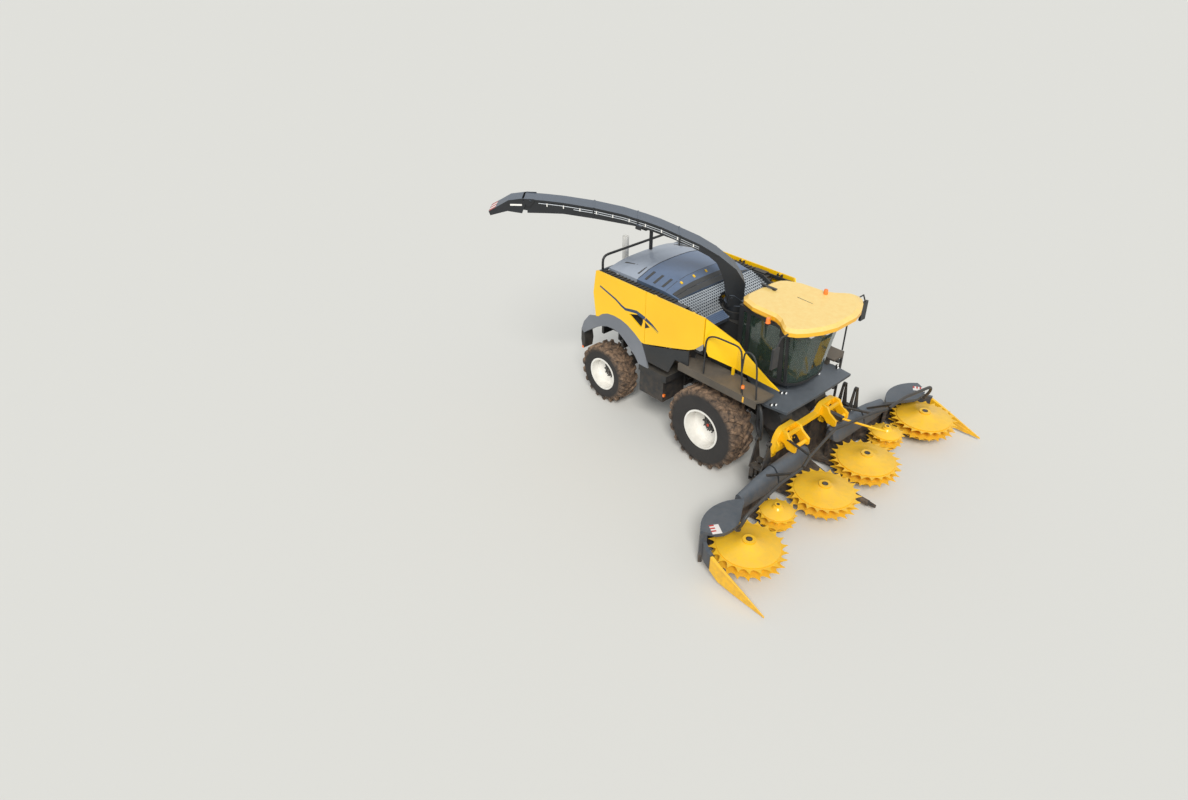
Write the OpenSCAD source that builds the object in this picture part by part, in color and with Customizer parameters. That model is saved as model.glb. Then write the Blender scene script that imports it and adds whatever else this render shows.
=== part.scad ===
// Self-propelled forage harvester with a folding rotary maize header.
// X points forward, Y to the machine's left, Z up; the origin is on the ground
// below the middle of the machine's box. All sizes are in millimetres.

/* [Wheels] */
// Distance between the front and rear axles
wheelbase = 3200; // [3000:10:3400]
// Outer radius of a front tyre at the lug tips
front_tyre_r = 900; // [860:5:920]
// Width of a front tyre
front_tyre_w = 690; // [600:10:700]
// Rim seat radius of a front wheel
front_rim_r = 415; // [390:5:430]
// Middle of a front tyre from the centre line
front_track_y = 1125; // [1115:5:1160]
// Outer radius of a rear tyre at the lug tips
rear_tyre_r = 705; // [680:5:720]
// Width of a rear tyre
rear_tyre_w = 540; // [480:10:550]
// Rim seat radius of a rear wheel
rear_rim_r = 365; // [340:5:380]
// Middle of a rear tyre from the centre line
rear_track_y = 960; // [940:5:980]
// Height of a tread lug
lug_h = 38; // [28:1:44]
// Number of lugs on each half of a tread
lugs_per_side = 18; // [14:1:20]
// Thickness of the rim steel
rim_t = 12; // [8:1:16]

/* [Chassis] */
// Width of the whole body over its side panels
body_w = 2800; // [2700:10:2900]
// Height of the rear frame rails, over the rear tyres
rail_z = 1440; // [1430:5:1500]
// Depth of a frame rail
rail_h = 180; // [140:5:200]
// Thickness of a frame rail
rail_t = 80; // [50:5:100]
// Radius of the tow pin hole
tow_pin_r = 20; // [16:1:25]
// Thickness of a tow hitch ear
tow_ear_t = 30; // [20:1:40]
// Gap between the tow hitch ears
tow_gap = 90; // [60:5:100]
// Height of the tow hitch
tow_z = 860; // [800:5:920]

/* [Body panels] */
// Height of the upper edge of the side panels
panel_top_z = 3360; // [3300:10:3400]
// Thickness of a side panel
panel_t = 30; // [15:1:40]
// Height of the hood's flat top
hood_top_z = 3720; // [3650:10:3760]
// Rear end of the side panels, behind the rear axle
tail_back = 80; // [40:10:120]
// Thickness of the hood skin
hood_t = 40; // [20:1:50]
// Height of the walkway deck
deck_z = 2170; // [2120:10:2200]
// Thickness of the walkway deck
deck_t = 40; // [30:1:60]

/* [Cab] */
// Height of the cab floor
cab_floor_z = 2180; // [2150:10:2220]
// Height of the top of the cab walls
cab_wall_top_z = 3480; // [3440:10:3500]
// Thickness of the cab walls and door
cab_wall_t = 45; // [30:1:60]
// Thickness of the cab glass
glass_t = 8; // [5:1:12]
// Thickness of the cab roof
roof_t = 170; // [140:5:200]
// Largest half width of the roof brim
brim_half_w = 1110; // [1060:10:1140]

/* [Spout] */
// Turret axis behind the front axle
slew_back = 450; // [430:5:480]
// Angle the spout points to the right of straight back
spout_turn = 45; // [0:5:90]
// Height of the spout lift hinge
spout_pivot_z = 3330; // [3300:5:3350]
// Width of the spout duct at its foot
duct_foot_w = 460; // [420:10:480]
// Width of the spout duct at its mouth
duct_mouth_w = 360; // [320:10:380]
// Distance of the flap hinge from the turret axis
flap_hinge_r = 4240; // [4200:10:4280]
// Distance of the flap tip from the turret axis
flap_tip_r = 4920; // [4850:10:4980]
// Height of the flap hinge
flap_hinge_z = 5230; // [5215:5:5245]

/* [Header] */
// Half of the header's working width
header_half_w = 3800; // [3700:10:3850]
// Fold line of a header wing from the centre line
fold_y = 1460; // [1450:5:1470]
// Height of the wing fold hinges
fold_z = 1440; // [1420:5:1460]
// Header lift hinge ahead of the front axle
lift_x = 600; // [590:5:620]
// Height of the header lift hinge
lift_z = 1330; // [1310:5:1350]
// Divider tips ahead of the front axle
tip_x = 3620; // [3580:10:3660]
// Radius of a large rotor at its teeth
rotor_r = 700; // [660:5:705]
// Radius of a small rotor at its teeth
small_rotor_r = 380; // [340:5:385]
// Rotor axis ahead of the front axle
rotor_x = 2560; // [2550:5:2600]
// Teeth on a large rotor
rotor_teeth = 22; // [16:2:26]
// Radius of the push bar tube
push_bar_r = 32; // [24:1:40]
// Height of the push bar
push_bar_z = 1340; // [1330:5:1350]

/* [Hidden] */
// Running gap between faces that move past each other
run_gap = 0.3;
// Gap left between neighbouring panels
seam = 10;

// Position of the front axle in the row frame, from the reach of the divider tips
// and of the flap's outer rear corner
flap_tip_w = duct_mouth_w + 40;
spout_az = 180 + spout_turn;
tail_reach = slew_back + flap_tip_r * cos(spout_turn) + flap_tip_w / 2 * sin(spout_turn);
axle_x = (tail_reach - tip_x) / 2;

body_half = body_w / 2;
rear_x = -wheelbase;
panel_y = body_half - panel_t;
front_hub_y = 1020;
front_spindle_r = 70;
rear_hub_y = 870;
rear_spindle_r = 50;
kingpin_y = 570;
kingpin_r = 32;
turret_r = 300;
slew_x = -slew_back;
cut_x = -1700;
door_front_x = -130;

tyre_col = "#4a3b30";
yellow = "#f5c010";
pale_yellow = "#f8d040";
black = "#1e2022";
slate = "#3c4650";
grey = "#6a6e70";
white = "#e8e8e4";
steel = "#a8acb0";
glass_col = "#9fb8a8";

$fn = 48;

// Places its children from the front axle's middle at ground level
module from_axle() { translate([axle_x, 0, 0]) children(); }

// Draws its children on the right side as they are and again on the left
module both_sides() {
    children();
    mirror([0, 1, 0]) children();
}

// Draws its children on the left side only
module left_side() { mirror([0, 1, 0]) children(); }

// Side view outline (x, z) as a plate from y to y + t
module side_plate(outline, y, t) {
    translate([0, y + t, 0]) rotate([90, 0, 0]) linear_extrude(t) polygon(outline);
}

// Front view outline (y, z) as a plate from x to x + t
module cross_plate(outline, x, t) {
    translate([x, 0, 0]) rotate([90, 0, 90]) linear_extrude(t) polygon(outline);
}

// Plan outline (x, y) as a plate from z to z + t
module flat_plate(outline, z, t) {
    translate([0, 0, z]) linear_extrude(t) polygon(outline);
}

// Box between two corners
module block(low, high) { translate(low) cube(high - low); }

// Round bar between two points
module rod(a, b, r) {
    d = b - a;
    translate(a) rotate([0, acos(d.z / norm(d)), atan2(d.y, d.x)]) cylinder(h = norm(d), r = r);
}

// Round bar through a list of points, with a ball at each bend
module bent_bar(points, r) {
    for (i = [0 : len(points) - 2]) rod(points[i], points[i + 1], r);
    for (i = [1 : len(points) - 2]) translate(points[i]) sphere(r * 1.05);
}

// Cylinder along Y
module y_rod(x, z, y0, y1, r) { translate([x, y1, z]) rotate([90, 0, 0]) cylinder(h = y1 - y0, r = r); }

// Cylinder along X
module x_rod(y, z, x0, x1, r) { translate([x0, y, z]) rotate([0, 90, 0]) cylinder(h = x1 - x0, r = r); }

function mirrored(points) = [for (p = points) [p.x, -p.y]];
function reversed(points) = [for (i = [len(points) - 1 : -1 : 0]) points[i]];
// Closed outline from its right half, listed from rear to front
function both_halves(points) = concat(points, reversed(mirrored(points)));
// The same for a front view outline, listed from the right edge to the middle
function across(points) = concat(points, [for (p = reversed(points)) [-p.x, p.y]]);

// Wheels. A wheel is made about Z with its outer side up, then laid on its axle.
module wheel_at(x, y, r) { translate([x, -y, r]) rotate([90, 0, 0]) children(); }

module tread_lug(r, w) {
    t = w * 0.075;
    half = w / 2;
    translate([0, r - lug_h - 30, 0]) rotate([-90, 0, 0]) linear_extrude(lug_h + 40) polygon([
        [0, 0.03 * w], [t, 0.03 * w], [t - 0.26 * w, -0.27 * w], [t - 0.38 * w, -half],
        [-0.38 * w, -half], [-0.26 * w - t * 0.5, -0.27 * w]
    ]);
}

module tyre(r, w, bead_r) {
    base = r - lug_h;
    half = w / 2;
    side_r = (bead_r + base) / 2 + 10;
    rotate_extrude() polygon([
        [bead_r, -0.43 * w], [bead_r + 30, -0.43 * w], [bead_r + 70, -0.465 * w],
        [side_r, -0.485 * w], [base - 70, -0.46 * w], [base - 12, -0.38 * w], [base, -0.2 * w],
        [base, 0.2 * w], [base - 12, 0.38 * w], [base - 70, 0.46 * w], [side_r, 0.485 * w],
        [bead_r + 70, 0.465 * w], [bead_r + 30, 0.43 * w], [bead_r, 0.43 * w]
    ]);
    intersection() {
        union() for (i = [0 : lugs_per_side - 1]) {
            rotate([0, 0, i * 360 / lugs_per_side]) tread_lug(r, w);
            rotate([0, 0, (i + 0.5) * 360 / lugs_per_side]) mirror([0, 0, 1]) tread_lug(r, w);
        }
        rotate_extrude() polygon([
            [bead_r + 90, -half], [base - 40, -half], [r - 14, -0.44 * w], [r, -0.3 * w],
            [r, 0.3 * w], [r - 14, 0.44 * w], [base - 40, half], [bead_r + 90, half]
        ]);
    }
}

module rim(w, bead_r, disc_z, hub_r, spindle_r, spindle_len, stud_r_pos) {
    lip = bead_r + 24;
    inner = bead_r - rim_t;
    seat = 0.43 * w;
    difference() {
        union() {
            rotate_extrude() polygon([
                [inner, -seat - rim_t], [lip, -seat - rim_t], [lip, -seat], [bead_r, -seat],
                [bead_r, seat], [lip, seat], [lip, seat + rim_t], [inner, seat + rim_t]
            ]);
            rotate_extrude() polygon([
                [0, disc_z - 8], [hub_r + 40, disc_z - 8], [inner + 4, disc_z + 50],
                [inner + 4, disc_z + 66], [hub_r + 60, disc_z + 12], [0, disc_z + 12]
            ]);
            translate([0, 0, disc_z - 60]) cylinder(h = 130, r = hub_r);
            translate([0, 0, disc_z + 69]) cylinder(h = 40, r1 = hub_r * 0.75, r2 = hub_r * 0.5);
            for (a = [0 : 30 : 330]) rotate(a)
                translate([stud_r_pos, 0, disc_z]) cylinder(h = 45, r = 14);
        }
        translate([0, 0, disc_z - 61]) cylinder(h = spindle_len, r = spindle_r + run_gap);
    }
}

module front_tyre() { wheel_at(0, front_track_y, front_tyre_r) tyre(front_tyre_r, front_tyre_w, front_rim_r); }
module front_rim() {
    wheel_at(0, front_track_y, front_tyre_r)
        rim(front_tyre_w, front_rim_r, front_hub_y + 60 - front_track_y, 130, front_spindle_r, 100, 165);
}
module rear_tyre() { wheel_at(rear_x, rear_track_y, rear_tyre_r) tyre(rear_tyre_r, rear_tyre_w, rear_rim_r); }
module rear_rim() {
    wheel_at(rear_x, rear_track_y, rear_tyre_r)
        rim(rear_tyre_w, rear_rim_r, rear_hub_y + 60 - rear_track_y, 100, rear_spindle_r, 90, 135);
}

module front_tyre_right() from_axle() color(tyre_col) front_tyre();
module front_tyre_left() from_axle() color(tyre_col) left_side() front_tyre();
module front_rim_right() from_axle() color(white) front_rim();
module front_rim_left() from_axle() color(white) left_side() front_rim();
module rear_tyre_right() from_axle() color(tyre_col) rear_tyre();
module rear_tyre_left() from_axle() color(tyre_col) left_side() rear_tyre();
module rear_rim_right() from_axle() color(white) rear_rim();
module rear_rim_left() from_axle() color(white) left_side() rear_rim();

// Axles and knuckles
module front_axle() from_axle() color(black) {
    y_rod(0, front_tyre_r, -620, 620, 125);
    both_sides() {
        y_rod(0, front_tyre_r, -front_hub_y + 12, -600, 230);
        y_rod(0, front_tyre_r, -front_hub_y - 36, -front_hub_y + 13, front_spindle_r);
        block([-110, -480, front_tyre_r], [110, -480 + rail_t + 60, front_rail_z]);
    }
}

front_rail_z = 1100;

module rear_axle() from_axle() color(black) {
    difference() {
        union() {
            block([rear_x - 90, -kingpin_y + 90, rear_tyre_r - 80], [rear_x + 90, kingpin_y - 90, rear_tyre_r + 80]);
            both_sides() for (z = [-1, 1])
                flat_plate([[rear_x - 90, -kingpin_y + 100], [rear_x + 90, -kingpin_y + 100],
                    [rear_x + 60, -kingpin_y - 50], [rear_x - 60, -kingpin_y - 50]],
                    rear_tyre_r + z * 130 - 25, 50);
            both_sides() block([rear_x - 70, -kingpin_y + 85, rear_tyre_r - 150],
                [rear_x + 70, -kingpin_y + 125, rear_tyre_r + 150]);
            block([rear_x - 90, -110, rear_tyre_r], [rear_x + 90, 110, rear_tyre_r + 200]);
        }
        both_sides() translate([rear_x, -kingpin_y, 0]) cylinder(h = 2000, r = kingpin_r + run_gap);
        x_rod(0, rear_tyre_r + 120, rear_x - 200, rear_x + 200, 40);
    }
    x_rod(0, rear_tyre_r + 120, rear_x - 175, rear_x + 175, 40);
}

module knuckle() {
    translate([rear_x, -kingpin_y, rear_tyre_r - 155]) cylinder(h = 310, r = kingpin_r);
    block([rear_x - 60, -kingpin_y - 130, rear_tyre_r - 95], [rear_x + 60, -kingpin_y + 40, rear_tyre_r + 95]);
    y_rod(rear_x, rear_tyre_r, -rear_hub_y + 12, -kingpin_y - 120, 85);
    y_rod(rear_x, rear_tyre_r, -rear_hub_y - 26, -rear_hub_y + 13, rear_spindle_r);
    block([rear_x + 59, -kingpin_y - 90, rear_tyre_r + 40], [rear_x + 220, -kingpin_y - 40, rear_tyre_r + 70]);
}
module knuckle_right() from_axle() color(grey) knuckle();
module knuckle_left() from_axle() color(grey) left_side() knuckle();

// Frame rails step up over the rear tyres
rail_y = 300;
duct_foot_x = 150;
rail_end_x = duct_foot_x - run_gap;
module chassis_frame() from_axle() color(black) {
    both_sides() side_plate([
        [-3700, rail_z], [-2300, rail_z], [-1900, front_rail_z], [rail_end_x, front_rail_z],
        [rail_end_x, front_rail_z + rail_h], [-1850, front_rail_z + rail_h], [-2250, rail_z + rail_h],
        [-3700, rail_z + rail_h]], -rail_y - 180, rail_t);
    for (x = [-3700, -2550, -1700, -1150]) {
        z = x < -2000 ? rail_z : front_rail_z;
        block([x, -rail_y - 110, z + 20], [x + 120, rail_y + 110, z + rail_h - 20]);
    }
    // Pivot brackets of the rear axle, on cross members over it
    difference() {
        for (x = [-175, 110]) block([rear_x + x, -100, rear_tyre_r + 60], [rear_x + x + 65, 100, rail_z + 20]);
        x_rod(0, rear_tyre_r + 120, rear_x - 200, rear_x + 200, 40 + run_gap);
    }
    block([rear_x - 200, -rail_y - 110, rail_z], [rear_x + 200, rail_y + 110, rail_z + 120]);
    // Tow bracket
    difference() {
        union() {
            block([-3700, -110, tow_z - tow_gap / 2 - tow_ear_t], [-3640, 110, rail_z + 40]);
            for (z = [-tow_gap / 2 - tow_ear_t, tow_gap / 2])
                translate([-3780, 0, tow_z + z]) {
                    cylinder(h = tow_ear_t, r = 70);
                    translate([0, -70, 0]) cube([120, 140, tow_ear_t]);
                }
        }
        translate([-3780, 0, tow_z - 200]) cylinder(h = 400, r = tow_pin_r);
    }
    // Posts under the tail screen, and the two hoops that carry the hood
    both_sides() block([screen_x, -rail_y - 180, rail_z + 100], [screen_x + screen_t, -rail_y - 100, screen_low_z - run_gap]);
    for (h = [[hood_back + 60, 760, rail_z], [hood_front - 50, 690, front_rail_z]]) {
        block([h.x, -1296 + run_gap, 3210], [h.x + 60, 1296 - run_gap, 3300 - run_gap]);
        both_sides() {
            block([h.x, -h.y - 60, h.z + 80], [h.x + 60, -h.y, 3250]);
            block([h.x, -h.y - 60, h.z + 80], [h.x + 60, -rail_y - 150, h.z + rail_h]);
        }
    }
    // Counterweight across the tail
    block([-3760, -700, rail_z - 60], [-3690, 700, rail_z + 420]);
}

module engine_block() from_axle() color(grey)
    block([-3050, -700, rail_z + rail_h], [-2050, 700, 2750]);

// Cutterhead housing, accelerator and the drum the turret stands on
house_front_x = 290;
module crop_duct() from_axle() color(black) {
    side_plate([[-750, 1290], [-700, 1060 + 240], [house_front_x, 1300], [house_front_x, 1750],
        [0, 1950], [-100, 2900], [-750, 2900]], -400, 800);
    side_plate([[-600, 700], [-250, 700], [-160, 1040], [house_front_x, 1045], [house_front_x, 1301],
        [-700, 1301]], -215, 430);
    translate([slew_x, 0, 2890]) cylinder(h = 160, r = turret_r + 40);
    both_sides() {
        side_plate([[duct_foot_x, 1180], [lift_x + 70, lift_z - 90], [lift_x + 70, lift_z + 90], [duct_foot_x, 1560]], -450, 30);
        block([duct_foot_x, -421, 1200], [house_front_x, -399, 1540]);
        y_rod(lift_x, lift_z, -450, -340, 45);
    }
}

// Hood. The profile is its right half from the edge to the middle.
function hood_half(t) = [
    [-panel_y + 85 + t, 3300], [-panel_y + 95 + t, 3430 - t * 0.5],
    [-1000 + t * 0.4, 3620 - t], [-460 + t * 0.2, hood_top_z - t]
];
hood_back = rear_x + 60;
hood_front = -1080;
module hood() from_axle() color(slate) {
    difference() {
        cross_plate(across(hood_half(0)), hood_back, hood_front - hood_back);
        cross_plate(across([for (p = hood_half(hood_t)) [p.x, p.y == 3300 ? 3299 : p.y]]),
            hood_back + hood_t, hood_front - hood_back - 2 * hood_t);
        // Sloped tail and front
        side_plate([[hood_back - 1, 3450], [hood_back - 1, 4000], [hood_back + 160, 4000]], -2000, 4000);
        side_plate([[hood_front - 260, hood_top_z], [hood_front + 1, hood_top_z - 120], [hood_front + 1, 4000],
            [hood_front - 260, 4000]], -2000, 4000);
        // Three slots in each front chamfer
        both_sides() for (i = [0 : 2])
            translate([-1960 + i * 220, -820, 3500]) cube([60, 260, 400]);
    }
}

module cooling_grille() from_axle() color(steel) {
    slope = [[hood_front + 5, 3560], [-760, 3330], [-330, 3040], [-330, 3000], [-760, 3290], [hood_front + 5, 3520]];
    difference() {
        side_plate(slope, -1155 + run_gap, 2310 - 2 * run_gap);
        translate([slew_x, 0, 2800]) cylinder(h = 1000, r = turret_r + 110);
        both_sides() for (row = [0 : 4], bay = [0 : 3])
            translate([-1000 + row * 125, -1090 + bay * 170, 2800]) cube([100, 130, 1000]);
    }
}

// Black louvred recess between the grille, hood and side panels
module louvre_panels() from_axle() color(black) both_sides() {
    side_plate([[hood_front + 10 + run_gap, 3000], [hood_front + 10 + run_gap, 3290], [-760, 3290], [door_front_x, 2980],
        [door_front_x, 2700]], -1190, 35);
    // Rail with the hinge pins of the side door
    block([cut_x, -panel_y + 44, 3230], [door_front_x - seam, -panel_y + 74, 3300]);
    for (x = door_sleeves) {
        x_rod(side_hinge_y, side_hinge_z, x - 30, x + 90, 8);
        for (lug = [-30, 66]) block([x + lug, side_hinge_y - 12, 3290], [x + lug + 24, -panel_y + 60, side_hinge_z + 12]);
    }
    for (i = [0 : 4])
        block([hood_front + 20, -panel_y + 44, 3060 + i * 60], [-500 - i * 60, -1189, 3075 + i * 60]);
}

screen_t = 40;
screen_x = hood_back - screen_t - run_gap;
screen_low_z = 2070;
module tail_screen() from_axle() color(slate) {
    difference() {
        block([screen_x, -panel_y + 40, screen_low_z], [screen_x + screen_t, panel_y - 40, 3340]);
        for (row = [0 : 8], bay = [-4 : 3])
            block([screen_x - 1, bay * 300 + 20, screen_low_z + 50 + row * 134],
                [screen_x + screen_t + 1, bay * 300 + 280, screen_low_z + 150 + row * 134]);
    }
}

// Yellow side panels
panel_rear_x = rear_x - tail_back;
cowl_arch = [[-1790, 2185], [-1980, 2310], [-2200, 2420], [-2400, 2475], [-2620, 2490],
    [-2830, 2465], [-3000, 2390], [-3120, 2290]];
module rear_cowls() from_axle() color(yellow) both_sides() {
    difference() {
        side_plate(concat([[cut_x - seam / 2, 2180]], cowl_arch,
            [[panel_rear_x + 80, 2270], [panel_rear_x, 2820], [panel_rear_x + 80, panel_top_z - 20],
            [panel_rear_x + 130, panel_top_z], [cut_x - seam / 2, panel_top_z]]), -body_half, panel_t);
        side_plate([[-2180, 2700], [-1760, 2820], [-1760, 2660], [-1810, 2510]], -body_half - 1, panel_t + 2);
    }
}

module side_door_shell() {
    side_plate([[cut_x + seam / 2, 2185], [-1500, 2240], [-900, 2410], [-480, 2540], [-330, 2620],
        [door_front_x - seam, 2800], [door_front_x - seam, panel_top_z], [cut_x + seam / 2, panel_top_z]],
        -body_half, panel_t);
}
// Hinge sleeves along the top edge of a side door, on the pins of the rail behind it
door_sleeves = [cut_x + 200, door_front_x - 360];
side_hinge_y = -panel_y + 18;
side_hinge_z = panel_top_z - 22;
module side_door_sleeves() {
    for (x = door_sleeves) difference() {
        block([x, -panel_y - 1, side_hinge_z - 16], [x + 60, side_hinge_y + 14, side_hinge_z + 16]);
        x_rod(side_hinge_y, side_hinge_z, x - 1, x + 61, 8 + run_gap);
    }
}
module side_door_right() from_axle() color(yellow) { side_door_shell(); side_door_sleeves(); }
module side_door_left() from_axle() color(yellow) left_side() { side_door_shell(); side_door_sleeves(); }

// Front cowls step in beside the cab, and a low triangle runs forward on the right
cowl_in_y = 950;
module cowl_turn() {
    run = 480;
    step = body_half - cowl_in_y;
    turn = atan2(step, run);
    translate([door_front_x + 20, -body_half, 0]) rotate([0, 0, turn])
        side_plate([[0, 2790], [100, 2560], [norm([run, step]), 2300], [norm([run, step]), 2870],
            [0, panel_top_z]], 0, panel_t);
}
module front_cowls() from_axle() color(yellow) {
    both_sides() {
        cowl_turn();
        block([300, -1000, deck_z + run_gap], [350, -960, 2340]);
    }
    side_plate([[345, 2300], [1400, 2270], [1150, 2380], [560, 2700], [440, 2790], [345, 2870]],
        -cowl_in_y - 5, panel_t);
}

module lower_panels() from_axle() color(black) both_sides() {
    side_plate([[-1765, 2168], [-1635, 1880], [-1595, 1800], [-1000, 1800], [-830, deck_z + run_gap],
        [-480, deck_z + run_gap], [-480, 2500], [-900, 2370], [-1500, 2200]], -body_half + 5, panel_t);
}

mudguard_outline = concat([[-3690, 1760], [-3600, 1990], [-3430, 2200]],
    [for (p = reversed(cowl_arch)) [p.x, p.y - run_gap]],
    [[-1650, 1880], [-1580, 1640 + run_gap], [-1850, 1640 + run_gap], [-1960, 1780], [-2290, 2030], [-2460, 2130],
    [-2630, 2165], [-2840, 2150], [-3020, 2090], [-3250, 1960], [-3480, 1800], [-3600, 1700]]);
module rear_mudguards() from_axle() color(grey) both_sides() {
    side_plate(mudguard_outline, -body_half + 2, 40);
    // Roof of the wheel arch, reaching inboard
    side_plate([[-3600, 1700], [-3480, 1800], [-3250, 1960], [-3020, 2090], [-2840, 2150], [-2630, 2165],
        [-2460, 2130], [-2290, 2030], [-2275, 2060], [-2455, 2162], [-2630, 2195], [-2845, 2180],
        [-3030, 2120], [-3262, 1990], [-3495, 1828], [-3620, 1730]], -body_half + 40, 500);
}

// Walkway decks over the front wheels with the mudguards below them
module walkways() from_axle() color(grey) both_sides() {
    difference() {
        flat_plate([[-700, -1440], [1250, -1440], [1330, -1300], [1330, -900], [-330, -900], [-700, -1100]],
            deck_z - deck_t, deck_t);
        flat_plate([[600, -980], [1340, -980], [1340, -890], [600, -890]], deck_z - deck_t - 1, deck_t + 2);
    }
    block([-700, -1440, deck_z - 160], [1250, -1415, deck_z - deck_t]);
    block([-700, -900, deck_z - 160], [-330, -870, deck_z]);
    // Brackets down to the front platform
    block([1100, -1090, platform_z + 50 + run_gap], [1180, -1010, deck_z - deck_t + 1]);
}

module side_boxes() from_axle() color(slate) both_sides() {
    block([-1860, -body_half + 20, 1490], [-1060, -760, 1640]);
    block([-1830, -body_half + 40, 980], [-1140, -700, 1489.7]);
    for (x = [-1750, -1250]) block([x, -700.3, 1120], [x + 80, -rail_y - 180.3, 1260]);
}

module handrails() from_axle() color(black) {
    base = deck_z + run_gap;
    both_sides() bent_bar([[1230, -1405, base], [1230, -1405, 2900], [950, -1405, 2950], [950, -1405, base]], 18);
    bent_bar([[60, -1405, base], [60, -1405, 2900], [460, -1060, 2900], [460, -1060, base]], 18);
    left_side() bent_bar([[160, -1405, base], [160, -1405, 2700], [40, -1405, 2800], [40, -1405, base]], 18);
}

// Boarding ladder on the left
ladder_x = 890;
module ladder() from_axle() color(black) left_side() {
    for (x = [ladder_x, ladder_x + 300]) block([x, -1520, 560], [x + 30, -1460, deck_z - deck_t]);
    for (i = [0 : 4]) block([ladder_x + 20, -1520, 600 + i * 320], [ladder_x + 310, -1400, 630 + i * 320]);
    block([ladder_x, -1500, deck_z - 160], [ladder_x + 330, -1440 - run_gap, deck_z - deck_t]);
}

// Cab. Base and top outlines are right halves from rear to front.
cab_base_half = [[80, -600], [1000, -640], [1260, -590], [1410, -420], [1470, -180]];
cab_top_half = [[60, -640], [1150, -760], [1480, -700], [1640, -480], [1700, -200]];
function inset(points, t) = [for (p = points) [p.x > 700 ? p.x - t : p.x + t, p.y + t]];
module cab_shape(t) {
    hull() {
        flat_plate(both_halves(inset(cab_base_half, t)), cab_floor_z, 1);
        flat_plate(both_halves(inset(cab_top_half, t)), cab_wall_top_z - 1, 1);
    }
}
door_x0 = 330;
door_x1 = 1130;
// The openings of the cab walls, all but the door: side, front and rear windows
module cab_windows() {
    block([180, -2000, cab_floor_z + 420], [door_x0 - 60, 2000, cab_wall_top_z - 90]);
    block([door_x0 + 30, -2000, cab_floor_z + 90], [door_x1 - 30, 0, cab_wall_top_z - 90]);
    block([door_x1 + 60, -2000, cab_floor_z + 60], [1235, 2000, cab_wall_top_z - 90]);
    block([1290, -2000, cab_floor_z + 60], [2500, 2000, cab_wall_top_z - 90]);
    block([-100, -500, cab_floor_z + 500], [130, 500, cab_wall_top_z - 90]);
}
module door_hole(gap) {
    block([door_x0 - gap, 300, cab_floor_z + 40 - gap], [door_x1 + gap, 2000, cab_wall_top_z - 50 + gap]);
}
module cab_frame() from_axle() color(black) {
    difference() {
        cab_shape(0);
        difference() {
            cab_shape(cab_wall_t);
            block([0, -1000, cab_floor_z - 1], [2000, 1000, cab_floor_z + 40]);
        }
        cab_windows();
        door_hole(6);
    }
    block([100, -380, 2080], [1200, 380, cab_floor_z]);
    // Door hinge pins on the rear door post
    for (z = door_hinge_z) {
        translate([door_x0 - 5, door_hinge_y, z]) cylinder(h = 160, r = 9);
        for (lug = [0, 130]) block([door_x0 - 55, 580, z + lug], [door_x0 + 7, door_hinge_y + 12, z + lug + 30]);
    }
}
door_hinge_z = [cab_floor_z + 200, cab_wall_top_z - 380];
door_hinge_y = 710;
module cab_glass() from_axle() color(glass_col, 0.5) {
    intersection() {
        difference() {
            cab_shape(12);
            cab_shape(12 + glass_t);
        }
        cab_windows();
    }
}
module cab_door_panel(t0, t1) {
    intersection() {
        difference() {
            cab_shape(t0);
            cab_shape(t1);
        }
        door_hole(0);
    }
}
module door_window() { block([door_x0 + 70, 300, cab_floor_z + 120], [door_x1 - 60, 2000, cab_wall_top_z - 130]); }
module cab_door() from_axle() color(black) {
    difference() {
        cab_door_panel(0, cab_wall_t);
        door_window();
        for (z = door_hinge_z) block([door_x0 - 80, 500, z - 6], [door_x0 + 14, 800, z + 36]);
        for (z = door_hinge_z) block([door_x0 - 80, 500, z + 124], [door_x0 + 14, 800, z + 166]);
    }
    for (z = door_hinge_z) difference() {
        block([door_x0 - 20, 615, z + 42], [door_x0 + 40, door_hinge_y + 16, z + 118]);
        translate([door_x0 - 5, door_hinge_y, z]) cylinder(h = 160, r = 9 + run_gap);
        block([door_x0 - 21, 600, z], [door_x0 + 0.2, 680, z + 160]);
    }
}
module cab_door_glass() from_axle() color(glass_col, 0.5) {
    intersection() {
        cab_door_panel(12, 12 + glass_t);
        door_window();
    }
}

roof_half = [[30, -380], [60, -540], [150, -650], [450, -770], [1000, -800], [1180, -890],
    [1330, -1030], [1430, -brim_half_w + 10], [1520, -brim_half_w], [1640, -1040], [1760, -880],
    [1900, -600], [1980, -300]];
roof_mid_x = 950;
roof_edge_low = 50;
roof_edge_top = 45;
module cab_roof() from_axle() color(pale_yellow) {
    outline = [for (p = both_halves(roof_half)) [p.x - roof_mid_x, p.y]];
    band_top = roof_t - roof_edge_top;
    translate([roof_mid_x, 0, cab_wall_top_z]) {
        translate([0, 0, roof_edge_low]) linear_extrude(band_top - roof_edge_low) polygon(outline);
        translate([0, 0, roof_edge_low]) mirror([0, 0, 1]) linear_extrude(roof_edge_low, scale = 0.93) polygon(outline);
        translate([0, 0, band_top]) linear_extrude(roof_edge_top, scale = 0.92) polygon(outline);
    }
}

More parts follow.
